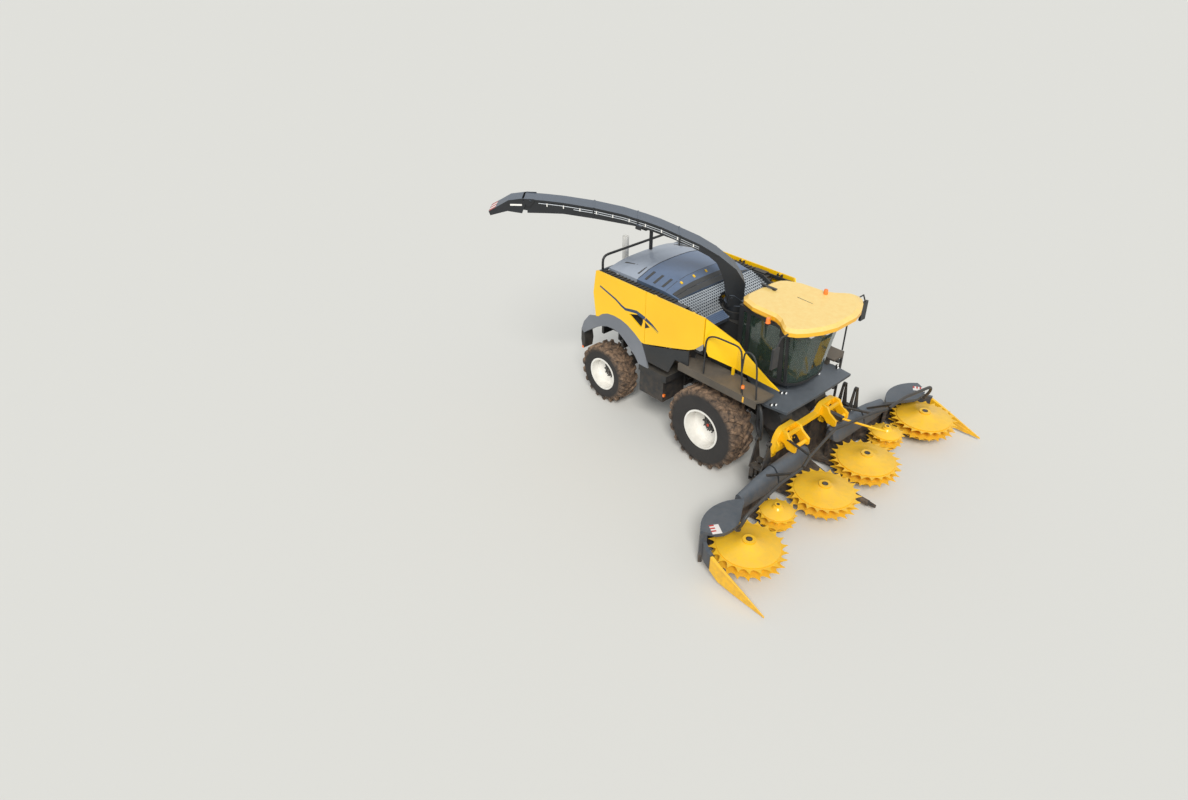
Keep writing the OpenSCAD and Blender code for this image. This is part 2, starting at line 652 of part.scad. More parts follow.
module cab_seat() from_axle() color("#5b4a3a") {
    block([350, -260, cab_floor_z + 440], [860, 260, cab_floor_z + 560]);
    side_plate([[330, cab_floor_z + 500], [420, cab_floor_z + 500], [330, cab_floor_z + 1150], [240, cab_floor_z + 1150]], -240, 480);
    translate([600, 0, cab_floor_z + 40]) cylinder(h = 401, r = 160);
    // Steering column and wheel
    translate([1220, 0, cab_floor_z + 40]) cylinder(h = 60, r = 70);
    rod([1215, 0, cab_floor_z + 70], [1060, 0, cab_floor_z + 700], 45);
    translate([1060, 0, cab_floor_z + 700]) rotate([0, -14, 0]) rotate_extrude() translate([190, 0]) circle(16);
    translate([1060, 0, cab_floor_z + 700]) rotate([0, -14, 0]) translate([0, 0, -10])
        for (a = [0, 120, 240]) rotate(a) translate([0, -18, 0]) cube([190, 36, 14]);
}

module cab_mirrors() from_axle() color(black) {
    both_sides() {
        bent_bar([[1510, -brim_half_w - run_gap, cab_wall_top_z + 90], [1510, -1300, cab_wall_top_z + 90],
            [1510, -1415, 3395]], 14);
        block([1485, -1500, 3000], [1530, -1330, 3400]);
    }
    // Beacon post on the cab wall
    bent_bar([[900, -733, 3435], [900, -870, 3435], [900, -870, cab_wall_top_z]], 12);
}

module lamps() from_axle() color("orange") {
    both_sides() {
        // Work lamps under the brim
        for (y = [-300, -620])
            block([1865 + y * 0.35, y - 60, cab_wall_top_z - 75], [1935 + y * 0.35, y + 60, cab_wall_top_z - run_gap]);
        // Twin lamps on the platform edge
        for (y = [-550, -1080]) block([1300, y - 70, platform_z + 50 + run_gap], [1360, y + 70, platform_z + 120]);
    }
    // Lens of the beacon, on its post
    translate([900, -870, cab_wall_top_z + run_gap]) cylinder(h = 110, r = 50);
}

module exhaust_pipe() from_axle() color(white) {
    translate([rear_x - 170, -370, 3000]) difference() {
        cylinder(h = 800, r = 72);
        translate([0, 0, 500]) cylinder(h = 400, r = 64);
    }
    for (z = [3100, 3260]) block([rear_x - 110, -410, z], [screen_x - run_gap, -330, z + 40]);
}

rest_h = 320;
module spout_rest() from_axle() color(black) {
    translate([rear_x + 240, 0, hood_top_z + run_gap]) cylinder(h = rest_h, r = 40);
    block([rear_x + 140, -250, hood_top_z + rest_h - 10], [rear_x + 340, 250, hood_top_z + rest_h + 15]);
    both_sides() block([rear_x + 140, -275, hood_top_z + rest_h - 10], [rear_x + 340, -250, hood_top_z + rest_h + 75]);
    rail_x = screen_x + screen_t / 2;
    bent_bar([[rail_x, -1240, 3340 + run_gap], [rail_x, -1240, 3640], [rail_x, 1240, 3640], [rail_x, 1240, 3340 + run_gap]], 18);
}

platform_z = 1930;
module front_platform() from_axle() color(slate) {
    flat_plate(both_halves([[60, -480], [300, -480], [1050, -1080], [1250, -1120], [1700, -1060], [1720, -300]]), platform_z, 50);
    flat_plate(both_halves([[300, -380], [1200, -380]]), platform_z + 49, 2080 - platform_z - 49);
    both_sides() block([60, -480, front_rail_z + rail_h + run_gap], [130, -420, platform_z + 1]);
}

module drive_drums() from_axle() color(black) both_sides() {
    y_rod(1180, 1435, -740, -380 - run_gap, 240);
    side_plate([[720, 1380], [1180, 1240], [1180, 1560], [720, 1500]], -560, 180 - run_gap);
}

// Spout, made in its own frame with X running out from the turret axis
module from_turret() { from_axle() translate([slew_x, 0, 0]) rotate([0, 0, spout_az]) children(); }

pivot_r = 190;
module turret() from_turret() color(slate) {
    translate([0, 0, 3050 + run_gap]) difference() {
        cylinder(h = 130, r = turret_r);
        translate([0, 0, -1]) cylinder(h = 200, r = 40);
    }
    both_sides() side_plate([[-180, 3160], [260, 3160], [pivot_r + 70, spout_pivot_z], [pivot_r + 40, spout_pivot_z + 70],
        [pivot_r - 60, spout_pivot_z + 60]], -duct_foot_w / 2 - 36, 30);
    both_sides() y_rod(pivot_r, spout_pivot_z, -duct_foot_w / 2 - 50, -duct_foot_w / 2 + 40, 28);
}

duct_top = [[-60, 3640], [140, 3930], [510, 4220], [870, 4420], [1270, 4600], [1760, 4810],
    [2240, 4960], [2810, 5100], [3380, 5190], [3860, 5235], [flap_hinge_r, flap_hinge_z + 30]];
duct_low = [[flap_hinge_r, flap_hinge_z], [flap_hinge_r - 60, 5200], [flap_hinge_r - 60, 4850], [3690, 4820], [3090, 4770], [2500, 4660], [2000, 4490], [1540, 4300],
    [1090, 4110], [780, 3910], [430, 3650], [300, 3450], [270, 3260], [60, 3240], [-60, 3310]];
module spout_duct() from_turret() color(slate) {
    difference() {
        intersection() {
            side_plate(concat(duct_top, duct_low), -duct_foot_w / 2, duct_foot_w);
            flat_plate(both_halves([[-100, -duct_foot_w / 2], [600, -duct_foot_w / 2],
                [flap_hinge_r, -duct_mouth_w / 2]]), 3000, 3000);
        }
        y_rod(pivot_r, spout_pivot_z, -400, 400, 28 + run_gap);
    }
    // Knuckle and pin of the flap hinge
    y_rod(flap_hinge_r, flap_hinge_z, -duct_mouth_w / 2, duct_mouth_w / 2, 30);
    y_rod(flap_hinge_r, flap_hinge_z, -flap_tip_w / 2, flap_tip_w / 2, flap_pin_r);
}

flap_pin_r = 14;
module spout_flap() from_turret() color(slate) {
    difference() {
        side_plate([[flap_hinge_r - 40, flap_hinge_z], [flap_hinge_r, flap_hinge_z + 40], [4530, 5230], [flap_tip_r, 5010], [flap_tip_r - 30, 4930],
            [4560, 5020], [flap_hinge_r + 40, 4980], [flap_hinge_r - 40, 5180]], -flap_tip_w / 2, flap_tip_w);
        side_plate([[flap_hinge_r - 50, flap_hinge_z + 60], [flap_hinge_r + 30, flap_hinge_z + 60],
            [flap_hinge_r + 50, flap_hinge_z - 20], [4520, 5190], [flap_tip_r + 40, 4940], [flap_tip_r, 4800],
            [flap_hinge_r - 50, 4700]], -flap_tip_w / 2 + 15, flap_tip_w - 30);
        y_rod(flap_hinge_r, flap_hinge_z, -400, 400, flap_pin_r + run_gap);
    }
}

// Feeder housing swings about the lift pins
module feeder_housing() from_axle() color(black) difference() {
    union() {
        y_rod(lift_x, lift_z, -380, 380, 260);
        side_plate([[lift_x, lift_z + 259], [1350, 1180], [1350, 460], [lift_x - 40, 1080]], -380, 760);
    }
    y_rod(lift_x, lift_z, -500, 500, 45 + run_gap);
}

back_x = 1350;
// Ears of the wing folds, at their distance from the front axle. An ear reaches from the
// top of the back wall to the fold axis; side is 1 for the middle section, -1 for the wing.
ear_places = [back_x + 30, back_x + 300];
ear_t = 28;
fold_pin_r = 20;
module fold_ear(x, side, bore_r) {
    difference() {
        union() {
            cross_plate([[-fold_y + side * 20, 880], [-fold_y + side * 180, 880], [-fold_y + side * 50, fold_z],
                [-fold_y, fold_z]], x, ear_t);
            x_rod(-fold_y, fold_z, x, x + ear_t, 52);
        }
        if (bore_r > 0) x_rod(-fold_y, fold_z, x - 1, x + ear_t + 1, bore_r);
    }
}
module header_centre() from_axle() color(slate) {
    difference() {
        cross_plate([[-fold_y + 10, 100], [fold_y - 10, 100], [fold_y - 10, 1000], [700, 1150], [-700, 1150],
            [-fold_y + 10, 1000]], back_x + 0.3, 90);
        block([back_x - 1, -330, 500], [back_x + 200, 330, 1080]);
    }
    // Gear housings and skids below the rotors
    both_sides() {
        flat_plate([[back_x + 60, -1100], [rotor_x - 200, -900], [rotor_x - 200, -560], [back_x + 60, -360]], 120, 100);
        translate([rotor_x, -730, 90]) cylinder(h = 130, r = 240);
        side_plate([[back_x + 200, 120], [back_x + 260, 20], [rotor_x + 150, 0], [rotor_x + 200, 90], [back_x + 300, 121]], -790, 120);
        block([back_x + 20, -1100, 120], [back_x + 90.3, -360, 260]);
        // Fold hinge ears
        for (x = ear_places) fold_ear(x, 1, fold_pin_r + run_gap);
        block([back_x + 80, -fold_y + 60, 880], [back_x + 330, -fold_y + 160, 960]);
    }
    rod([rotor_x, 0, 130], [3150, 0, 120], 60);
    flat_plate(both_halves([[back_x + 60, -360], [rotor_x - 300, -120], [rotor_x + 100, -80], [3300, -20]]), 100, 60);
}

// Yellow cast frame round the feed opening
feed_back_x = back_x + 91;
feed_front_x = feed_back_x + 260;
module feed_frame() from_axle() color(yellow) {
    difference() {
        cross_plate([[-1080, 1000], [-900, 1340], [-420, 1340], [-330, 1170], [330, 1170], [420, 1340], [900, 1340],
            [1080, 1000]], feed_back_x, feed_front_x - feed_back_x);
        cross_plate([[-560, 900], [-560, 1240], [560, 1240], [560, 900]], back_x + 200, 300);
    }
    rod([2000, 500, 1290], [2820, 760, 1290], 22);
    block([1560, 470, 1240], [2010, 560, 1330]);
}

module push_bar_centre() from_axle() color(black) {
    bent_bar([[2440, -fold_y + 30, push_bar_z], [2330, -1060, push_bar_z], [2150, 0, push_bar_z + 20],
        [2330, 1060, push_bar_z], [2440, fold_y - 30, push_bar_z]], push_bar_r);
    both_sides() {
        x_rod(-880, 1290, feed_front_x + run_gap, feed_front_x + 25, 27);
        rod([feed_front_x + 22, -880, 1290], [2320, -1050, push_bar_z], 25);
    }
}

// A wing of the header, drawn on the right side
wing_in = fold_y + 10;
wing_out = header_half_w - 40;
outer_y = 3010;
small_y = 1880;
small_x = rotor_x - 230;
module wing_frame() {
    cross_plate([[-wing_out + 150, 100], [-wing_in, 100], [-wing_in, 1000], [-2200, 900], [-wing_out + 150, 700]], back_x, 90);
    for (p = [[rotor_x, outer_y, 240], [small_x, small_y, 160]]) translate([p.x, -p.y, 90]) cylinder(h = 130, r = p.z);
    flat_plate([[back_x + 60, -3300], [rotor_x - 200, -3150], [rotor_x - 200, -2850], [back_x + 60, -2700]], 120, 100);
    flat_plate([[back_x + 60, -2050], [small_x - 100, -1980], [small_x - 100, -1780], [back_x + 60, -1700]], 120, 100);
    block([back_x + 20, -3300, 120], [back_x + 90, -1700, 260]);
    side_plate([[back_x + 200, 120], [back_x + 260, 20], [rotor_x + 150, 0], [rotor_x + 200, 90], [back_x + 300, 121]], -3070, 120);
    // Fold hinge ears
    for (x = ear_places) {
        fold_ear(x + ear_t + 6, -1, 0);
        x_rod(-fold_y, fold_z, x - 10, x + 2 * ear_t + 6, fold_pin_r);
    }
    block([back_x + 80, -fold_y - 160, 880], [back_x + 360, -fold_y - 60, 960]);
    // Guard behind the small rotor and cover over the outer rotor
    flat_plate([[1880, -2030], [1780, -1560], [2050, -1560], [2120, -1900]], 1040, 60);
    side_plate([[back_x + 60, 800], [1900, 1040], [1900, 1100], [back_x + 60, 900]], -1960, 300);
    flat_plate([[2430, -wing_out + 10], [2180, -wing_out + 20], [1950, -3600], [1860, -3300], [1860, -2640], [2230, -2880],
        [2450, -3150], [2520, -3600]], 900, 50);
    side_plate([[back_x + 60, 500], [1870, 870], [1870, 949], [back_x + 60, 700]], -3400, 700);
    // Push bar
    bent_bar([[2470, -wing_in - 20, push_bar_z], [2500, -2390, push_bar_z], [2600, -3270, push_bar_z],
        [2600, -3420, push_bar_z - 60], [2400, -3420, 940]], push_bar_r);
    rod([back_x + 60, -1700, 900], [2470, -1700, push_bar_z], 25);
}

module wing_snouts() {
    hull() {
        translate([2000, -wing_out - 10, 320]) cube([60, 70, 500]);
        translate([2500, -wing_out - 30, 120]) cube([60, 55, 420]);
        translate([tip_x - 20, -wing_out - 30, 60]) cube([20, 20, 30]);
    }
    block([back_x + 20, -wing_out, 300], [2001, -wing_out + 50, 700]);
    block([back_x + 20, -wing_out, 300], [back_x + 90, -wing_out + 150 - run_gap, 700]);
}

module wing_frame_right() from_axle() color(slate) wing_frame();
module wing_frame_left() from_axle() color(slate) left_side() wing_frame();
module wing_snouts_right() from_axle() color(yellow) wing_snouts();
module wing_snouts_left() from_axle() color(yellow) left_side() wing_snouts();

// A rotor: toothed discs on a drum, with a domed lid
function tooth_ring(r, depth, teeth) = [
    for (i = [0 : teeth - 1], k = [[0, 1], [0.32, 0.35], [0.6, 0], [0.85, 0.3]])
        (r - depth * k[1]) * [cos((i + k[0]) * 360 / teeth), sin((i + k[0]) * 360 / teeth)]
];
module rotor(x, y, r, teeth) {
    translate([x, y, 220 + run_gap]) {
        cylinder(h = 20, r = r * 0.72);
        cylinder(h = 430, r = r * 0.5);
        for (z = [130, 330]) translate([0, 0, z]) linear_extrude(14) polygon(tooth_ring(r, r * 0.16, teeth));
        translate([0, 0, 430]) cylinder(h = 60, r1 = r * 0.78, r2 = r * 0.2);
        translate([0, 0, 489]) cylinder(h = 40, r = r * 0.17);
    }
}
module rotor_inner_right() from_axle() color(yellow) rotor(rotor_x, -730, rotor_r, rotor_teeth);
module rotor_inner_left() from_axle() color(yellow) rotor(rotor_x, 730, rotor_r, rotor_teeth);
module rotor_small_right() from_axle() color(yellow) rotor(small_x, -small_y, small_rotor_r, rotor_teeth - 8);
module rotor_small_left() from_axle() color(yellow) rotor(small_x, small_y, small_rotor_r, rotor_teeth - 8);
module rotor_outer_right() from_axle() color(yellow) rotor(rotor_x, -outer_y, rotor_r, rotor_teeth);
module rotor_outer_left() from_axle() color(yellow) rotor(rotor_x, outer_y, rotor_r, rotor_teeth);

chassis_frame();
front_axle();
rear_axle();
engine_block();
crop_duct();
hood();
cooling_grille();
louvre_panels();
tail_screen();
rear_cowls();
front_cowls();
lower_panels();
rear_mudguards();
walkways();
side_boxes();
handrails();
ladder();
cab_frame();
cab_glass();
cab_roof();
cab_seat();
cab_mirrors();
lamps();
exhaust_pipe();
spout_rest();
front_platform();
drive_drums();
side_door_right();
side_door_left();
cab_door();
cab_door_glass();
turret();
spout_duct();
spout_flap();
feeder_housing();
header_centre();
feed_frame();
push_bar_centre();
wing_frame_right();
wing_frame_left();
wing_snouts_right();
wing_snouts_left();
rotor_inner_right();
rotor_inner_left();
rotor_small_right();
rotor_small_left();
rotor_outer_right();
rotor_outer_left();
front_tyre_right();
front_tyre_left();
front_rim_right();
front_rim_left();
rear_tyre_right();
rear_tyre_left();
rear_rim_right();
rear_rim_left();
knuckle_right();
knuckle_left();
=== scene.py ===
import itertools
import math

import bmesh
import bpy
import numpy as np
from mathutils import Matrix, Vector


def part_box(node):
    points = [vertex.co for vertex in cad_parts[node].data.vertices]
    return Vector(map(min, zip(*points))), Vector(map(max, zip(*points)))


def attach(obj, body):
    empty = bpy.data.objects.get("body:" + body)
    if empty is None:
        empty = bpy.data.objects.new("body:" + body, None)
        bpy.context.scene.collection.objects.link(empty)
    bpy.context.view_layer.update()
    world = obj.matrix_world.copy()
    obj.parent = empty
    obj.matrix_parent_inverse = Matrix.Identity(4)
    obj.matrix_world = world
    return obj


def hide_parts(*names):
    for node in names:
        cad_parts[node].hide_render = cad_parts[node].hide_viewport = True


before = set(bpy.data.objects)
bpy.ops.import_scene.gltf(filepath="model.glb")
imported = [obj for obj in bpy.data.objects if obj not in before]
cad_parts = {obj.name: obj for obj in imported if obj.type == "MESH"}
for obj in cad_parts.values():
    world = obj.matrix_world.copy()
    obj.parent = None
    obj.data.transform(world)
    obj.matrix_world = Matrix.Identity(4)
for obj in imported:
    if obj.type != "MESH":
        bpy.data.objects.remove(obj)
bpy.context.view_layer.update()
wheel_low, wheel_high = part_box("front_tyre_right")
axle = (wheel_low[0] + wheel_high[0]) / 2

# Camera. A 24 mm lens on a 36 mm sensor, 10 m up beside the right front of the machine
# and turned 32.8 degrees down, as the photograph was taken. No shift and no blur.
camera = bpy.data.objects.new("camera", bpy.data.cameras.new("camera"))
bpy.context.scene.collection.objects.link(camera)
camera.data.lens = 24.0
camera.data.sensor_width = 36.0
camera.data.clip_end = 900.0
camera.location = (8.608, -11.885, 10.14)
camera.rotation_euler = (math.radians(90 - 32.8), 0.0, math.radians(48.0))
bpy.context.scene.camera = camera
bpy.context.scene.view_settings.view_transform = "Standard"


# Studio. A pale matt floor out to the horizon, one soft sun high on the camera's side, and
# an even world. The world looks pale to the camera and in gloss and glass, and lights less.
def linear(colour):
    """Turns an sRGB hex colour to linear RGBA: each channel through the sRGB curve."""
    parts = [int(colour[i:i + 2], 16) / 255 for i in (1, 3, 5)]
    return (*[v / 12.92 if v <= 0.04045 else ((v + 0.055) / 1.055) ** 2.4 for v in parts], 1.0)


def add(tree, kind, inputs=None, **settings):
    """Adds one shader node with its settings; inputs are values or the outputs linked to them."""
    node = tree.nodes.new(kind)
    for key, value in settings.items():
        setattr(node, key, value)
    for key, value in (inputs or {}).items():
        if isinstance(value, bpy.types.NodeSocket):
            tree.links.new(value, node.inputs[key])
        else:
            node.inputs[key].default_value = value
    return node


def new_material(name):
    """Makes an empty node material and returns it with its tree and its Principled shader."""
    material = bpy.data.materials.new(name)
    material.use_nodes = True
    material.node_tree.nodes.clear()
    shader = add(material.node_tree, "ShaderNodeBsdfPrincipled")
    add(material.node_tree, "ShaderNodeOutputMaterial", {"Surface": shader.outputs["BSDF"]})
    return material, material.node_tree, shader


floor_material, tree, shader = new_material("pale_studio_floor")
shader.inputs["Base Color"].default_value = linear("#dad9d4")
shader.inputs["Roughness"].default_value = 0.95
shader.inputs["Specular IOR Level"].default_value = 0.1
floor_r, floor_corners = 400, 64
around = np.linspace(0, 2 * np.pi, floor_corners, endpoint=False)
floor_edge = np.c_[floor_r * np.cos(around), floor_r * np.sin(around), 0 * around]
floor_mesh = bpy.data.meshes.new("floor")
floor_mesh.from_pydata(floor_edge.tolist(), [], [list(range(floor_corners))])
floor_mesh.materials.append(floor_material)
floor = bpy.data.objects.new("floor", floor_mesh)
bpy.context.scene.collection.objects.link(floor)

world = bpy.data.worlds.new("even_studio_sky")
bpy.context.scene.world = world
world.use_nodes = True
tree = world.node_tree
tree.nodes.clear()
path = add(tree, "ShaderNodeLightPath")
seen = path.outputs["Is Camera Ray"]
for ray in ("Is Glossy Ray", "Is Transmission Ray"):
    seen = add(tree, "ShaderNodeMath", {0: seen, 1: path.outputs[ray]}, operation="MAXIMUM").outputs[0]
even = add(tree, "ShaderNodeBackground", {"Color": linear("#eef2f6"), "Strength": 0.55})
pale = add(tree, "ShaderNodeBackground", {"Color": linear("#dfe3e6"), "Strength": 1.0})
both = add(tree, "ShaderNodeMixShader", {0: seen, 1: even.outputs[0], 2: pale.outputs[0]})
add(tree, "ShaderNodeOutputWorld", {"Surface": both.outputs[0]})

sun = bpy.data.objects.new("soft_sun", bpy.data.lights.new("soft_sun", "SUN"))
sun.data.energy = 2.75
sun.data.angle = math.radians(22)
sun.data.color = (1.0, 0.985, 0.95)
sun.rotation_euler = (math.radians(47), math.radians(6), math.radians(38))
bpy.context.scene.collection.objects.link(sun)


# Frame rails, axles and the engine block: welded steel in satin black chassis paint, and a
# bare cast block. The paint is dull with dust and soil, thickest low down.
def blend(tree, share, first, second):
    """Adds a colour mix: a share of 0 gives the first colour, 1 the second."""
    return add(tree, "ShaderNodeMix", {0: share, 6: first, 7: second}, data_type="RGBA").outputs[2]


def product(tree, first, second):
    """Adds the product of two values, kept between 0 and 1."""
    factors = {0: first, 1: second}
    return add(tree, "ShaderNodeMath", factors, operation="MULTIPLY", use_clamp=True).outputs[0]


def finish(name, colour, tone, roughness, metallic=0.0, coat=0.0, patch_mm=600.0, grain_mm=40.0,
           grain_depth_mm=0.4, soil="#7d6a57", soil_top=1.2, soil_share=0.5, top_dust_and_sheen="#9a9182",
           top_dust_and_sheen_share=0.12):
    """A painted or moulded surface. Its colour drifts from colour to tone over patches of
    patch_mm; a grain of grain_mm lifts it by grain_depth_mm; soil fades out upwards until
    soil_top metres; dust lies on the faces that look up, and on some surfaces this paler top
    is also painted light: a painted sunlit top on the yellow paints and the roof, a painted sky
    reflection on the hood and the spout."""
    material, tree, shader = new_material(name)

    def noise(scale, detail, **more):
        """Value of a noise pattern at so many spots a metre."""
        inputs = {"Vector": spot, "Scale": scale, "Detail": detail, **more}
        return add(tree, "ShaderNodeTexNoise", inputs).outputs["Fac"]

    def spread(value, low, high, start=0.0, end=1.0):
        """Maps a value from low..high to start..end."""
        inputs = {"Value": value, "From Min": low, "From Max": high, "To Min": start, "To Max": end}
        return add(tree, "ShaderNodeMapRange", inputs).outputs[0]

    where = add(tree, "ShaderNodeTexCoord")
    spot = where.outputs["Object"]
    base = blend(tree, spread(noise(1000 / patch_mm, 3.0), 0.35, 0.65), linear(colour), linear(tone))
    splash = noise(9.0, 6.0, Roughness=0.65)
    height = add(tree, "ShaderNodeSeparateXYZ", {0: spot}).outputs[2]
    fade = spread(height, 0.0, max(soil_top, 0.01), 1.25 * soil_share, 0.0)
    low = blend(tree, product(tree, fade, spread(splash, 0.36, 0.62)), base, linear(soil))
    # Faces that look up take the dust colour: real dust, and for some surfaces painted sunlight and painted
    # sky reflection.
    facing = add(tree, "ShaderNodeSeparateXYZ", {0: where.outputs["Normal"]}).outputs[2]
    up = spread(facing, 0.45, 0.95, 0.0, top_dust_and_sheen_share)
    top = blend(tree, product(tree, up, spread(splash, 0.2, 0.7, 0.6)), low, linear(top_dust_and_sheen))
    rough = spread(splash, 0.3, 0.7, roughness - 0.06, roughness + 0.08)
    lift = {"Height": noise(1000 / grain_mm, 2.0), "Distance": grain_depth_mm / 1000, "Strength": 1.0}
    bump = add(tree, "ShaderNodeBump", lift).outputs[0]
    for key, value in {"Base Color": top, "Roughness": rough, "Normal": bump}.items():
        tree.links.new(value, shader.inputs[key])
    shader.inputs["Metallic"].default_value = metallic
    shader.inputs["Coat Weight"].default_value = coat
    shader.inputs["Coat Roughness"].default_value = 0.12
    return material


def dress(material, *nodes):
    """Gives one material to whole CAD nodes."""
    for name in nodes:
        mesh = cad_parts[name].data
        mesh.materials.clear()
        mesh.materials.append(material)


chassis_paint = finish("satin_black_chassis_paint", "#1c1d1f", "#26282a", 0.5, coat=0.1, soil_top=1.6)
cast_iron = finish("bare_cast_iron", "#4c4e50", "#3d3f41", 0.7, metallic=0.4, grain_mm=12, soil_top=0.5)
dress(chassis_paint, "chassis_frame", "front_axle", "rear_axle", "knuckle_right", "knuckle_left",
      "crop_duct")
dress(cast_iron, "engine_block")


# Tyres: black rubber, dull and grey on the side walls, with brown soil on the tread. Rims:
# pressed steel discs in gloss white paint, with a black hub, ten studs and a red cap in front.
# A shape is a pair: points, in millimetres from the front axle's middle at ground level, and
# faces. Closed shapes are joined into one object a piece.
def loft(rings, capped=True):
    """A skin over rings of points: ring i and ring i + 1 are joined by quads, and the ends capped."""
    rings = np.asarray(rings, float)
    count, sides = rings.shape[:2]
    i, j = np.meshgrid(np.arange(count - 1), np.arange(sides), indexing="ij")
    k = (j + 1) % sides
    here, there = i * sides, (i + 1) * sides
    quads = np.stack([here + j, here + k, there + k, there + j], -1).reshape(-1, 4)
    caps = [tuple(range(sides)), tuple(range((count - 1) * sides, count * sides))] if capped else []
    return rings.reshape(-1, 3), [tuple(q) for q in quads.tolist()] + caps


def turned(profile, centre, along="y", sides=48, loop=False):
    """A profile of (distance from the axis, place along it) turned once round. A loop closes
    on itself, and an open profile starts and ends on the axis."""
    reach, place = np.asarray(profile, float).T
    turn = np.linspace(0, 2 * np.pi, sides, endpoint=False)[:, None]
    flat = np.stack([reach * np.cos(turn), reach * np.sin(turn)], -1)
    rings = np.insert(flat, "xyz".index(along), place, axis=2) + centre
    points, faces = loft(np.concatenate([rings, rings[:1]]), capped=False)
    count = len(profile)
    return points, [f for f in faces if loop or f[0] % count < f[1] % count]


def disc(radius, thick, centre, along, sides):
    """A flat round plate or a short cylinder, from its centre along one axis."""
    return turned([(0, 0), (radius, 0), (radius, thick), (0, thick)], centre, along, sides)


def flipped(shapes, side):
    """The shapes for the right side as they are, or mirrored for the left."""
    return shapes if side == "right" else [(points * (1, -1, 1), faces) for points, faces in shapes]


def piece(name, body, parts, edge=35.0, bevel=0.0):
    """Joins the shapes of parts, a dict from material to shapes, into one object that rides a
    body. Faces that meet at less than edge degrees look smooth; bevel mm rounds sharp ones."""
    build = bmesh.new()
    mesh = bpy.data.meshes.new(name)
    for number, (material, shapes) in enumerate(parts.items()):
        mesh.materials.append(material)
        for points, faces in shapes:
            spots = [build.verts.new(p) for p in (points / 1000 + (axle, 0, 0)).tolist()]
            for face in faces:
                build.faces.new([spots[i] for i in face]).material_index = number
    bmesh.ops.remove_doubles(build, verts=build.verts, dist=1e-6)
    bmesh.ops.recalc_face_normals(build, faces=build.faces)
    build.to_mesh(mesh)
    build.free()
    mesh.shade_smooth()
    mesh.set_sharp_from_angle(angle=math.radians(edge))
    made = bpy.data.objects.new(name, mesh)
    bpy.context.scene.collection.objects.link(made)
    if bevel:
        rounding = made.modifiers.new("rounded_edges", "BEVEL")
        rounding.width = bevel / 1000
        rounding.segments = 2
        rounding.limit_method = "ANGLE"
        rounding.angle_limit = math.radians(40)
        rounding.harden_normals = False
    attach(made, body)
    return made


def tyre_rubber(name, node):
    """Rubber whose soil starts at the shoulder: the distance from the wheel's axis sets it."""
    material, tree, shader = new_material(name)
    low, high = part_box(node)
    axis = [-(low[0] + high[0]) / 2, 0.0, -(low[2] + high[2]) / 2]
    radius = (high[2] - low[2]) / 2
    spot = add(tree, "ShaderNodeTexCoord").outputs["Object"]
    centred = add(tree, "ShaderNodeVectorMath", {0: spot, 1: axis}, operation="ADD").outputs[0]
    flatten = {0: centred, 1: (1.0, 0.0, 1.0)}
    flat = add(tree, "ShaderNodeVectorMath", flatten, operation="MULTIPLY").outputs[0]
    reach = add(tree, "ShaderNodeVectorMath", {0: flat}, operation="LENGTH").outputs["Value"]
    lumps = {"Vector": spot, "Scale": 11.0, "Detail": 8.0, "Roughness": 0.7}
    clods = add(tree, "ShaderNodeTexNoise", lumps).outputs["Fac"]
    rise = {"Value": reach, "From Min": radius - 0.16, "From Max": radius - 0.03}
    tread = add(tree, "ShaderNodeMapRange", rise).outputs[0]
    tears = {"Value": clods, "From Min": 0.38, "From Max": 0.6, "To Min": 0.15}
    torn = add(tree, "ShaderNodeMapRange", tears).outputs[0]
    soil = blend(tree, clods, linear("#685040"), linear("#a98c70"))
    drift = add(tree, "ShaderNodeTexNoise", {"Vector": spot, "Scale": 2.5, "Detail": 4.0}).outputs["Fac"]
    rubber = blend(tree, drift, linear("#222121"), linear("#393634"))
    colour = blend(tree, product(tree, tread, torn), rubber, soil)
    bump = add(tree, "ShaderNodeBump", {"Height": clods, "Distance": 0.012, "Strength": 0.7})
    tree.links.new(colour, shader.inputs["Base Color"])
    tree.links.new(bump.outputs[0], shader.inputs["Normal"])
    shader.inputs["Roughness"].default_value = 0.85
    return material


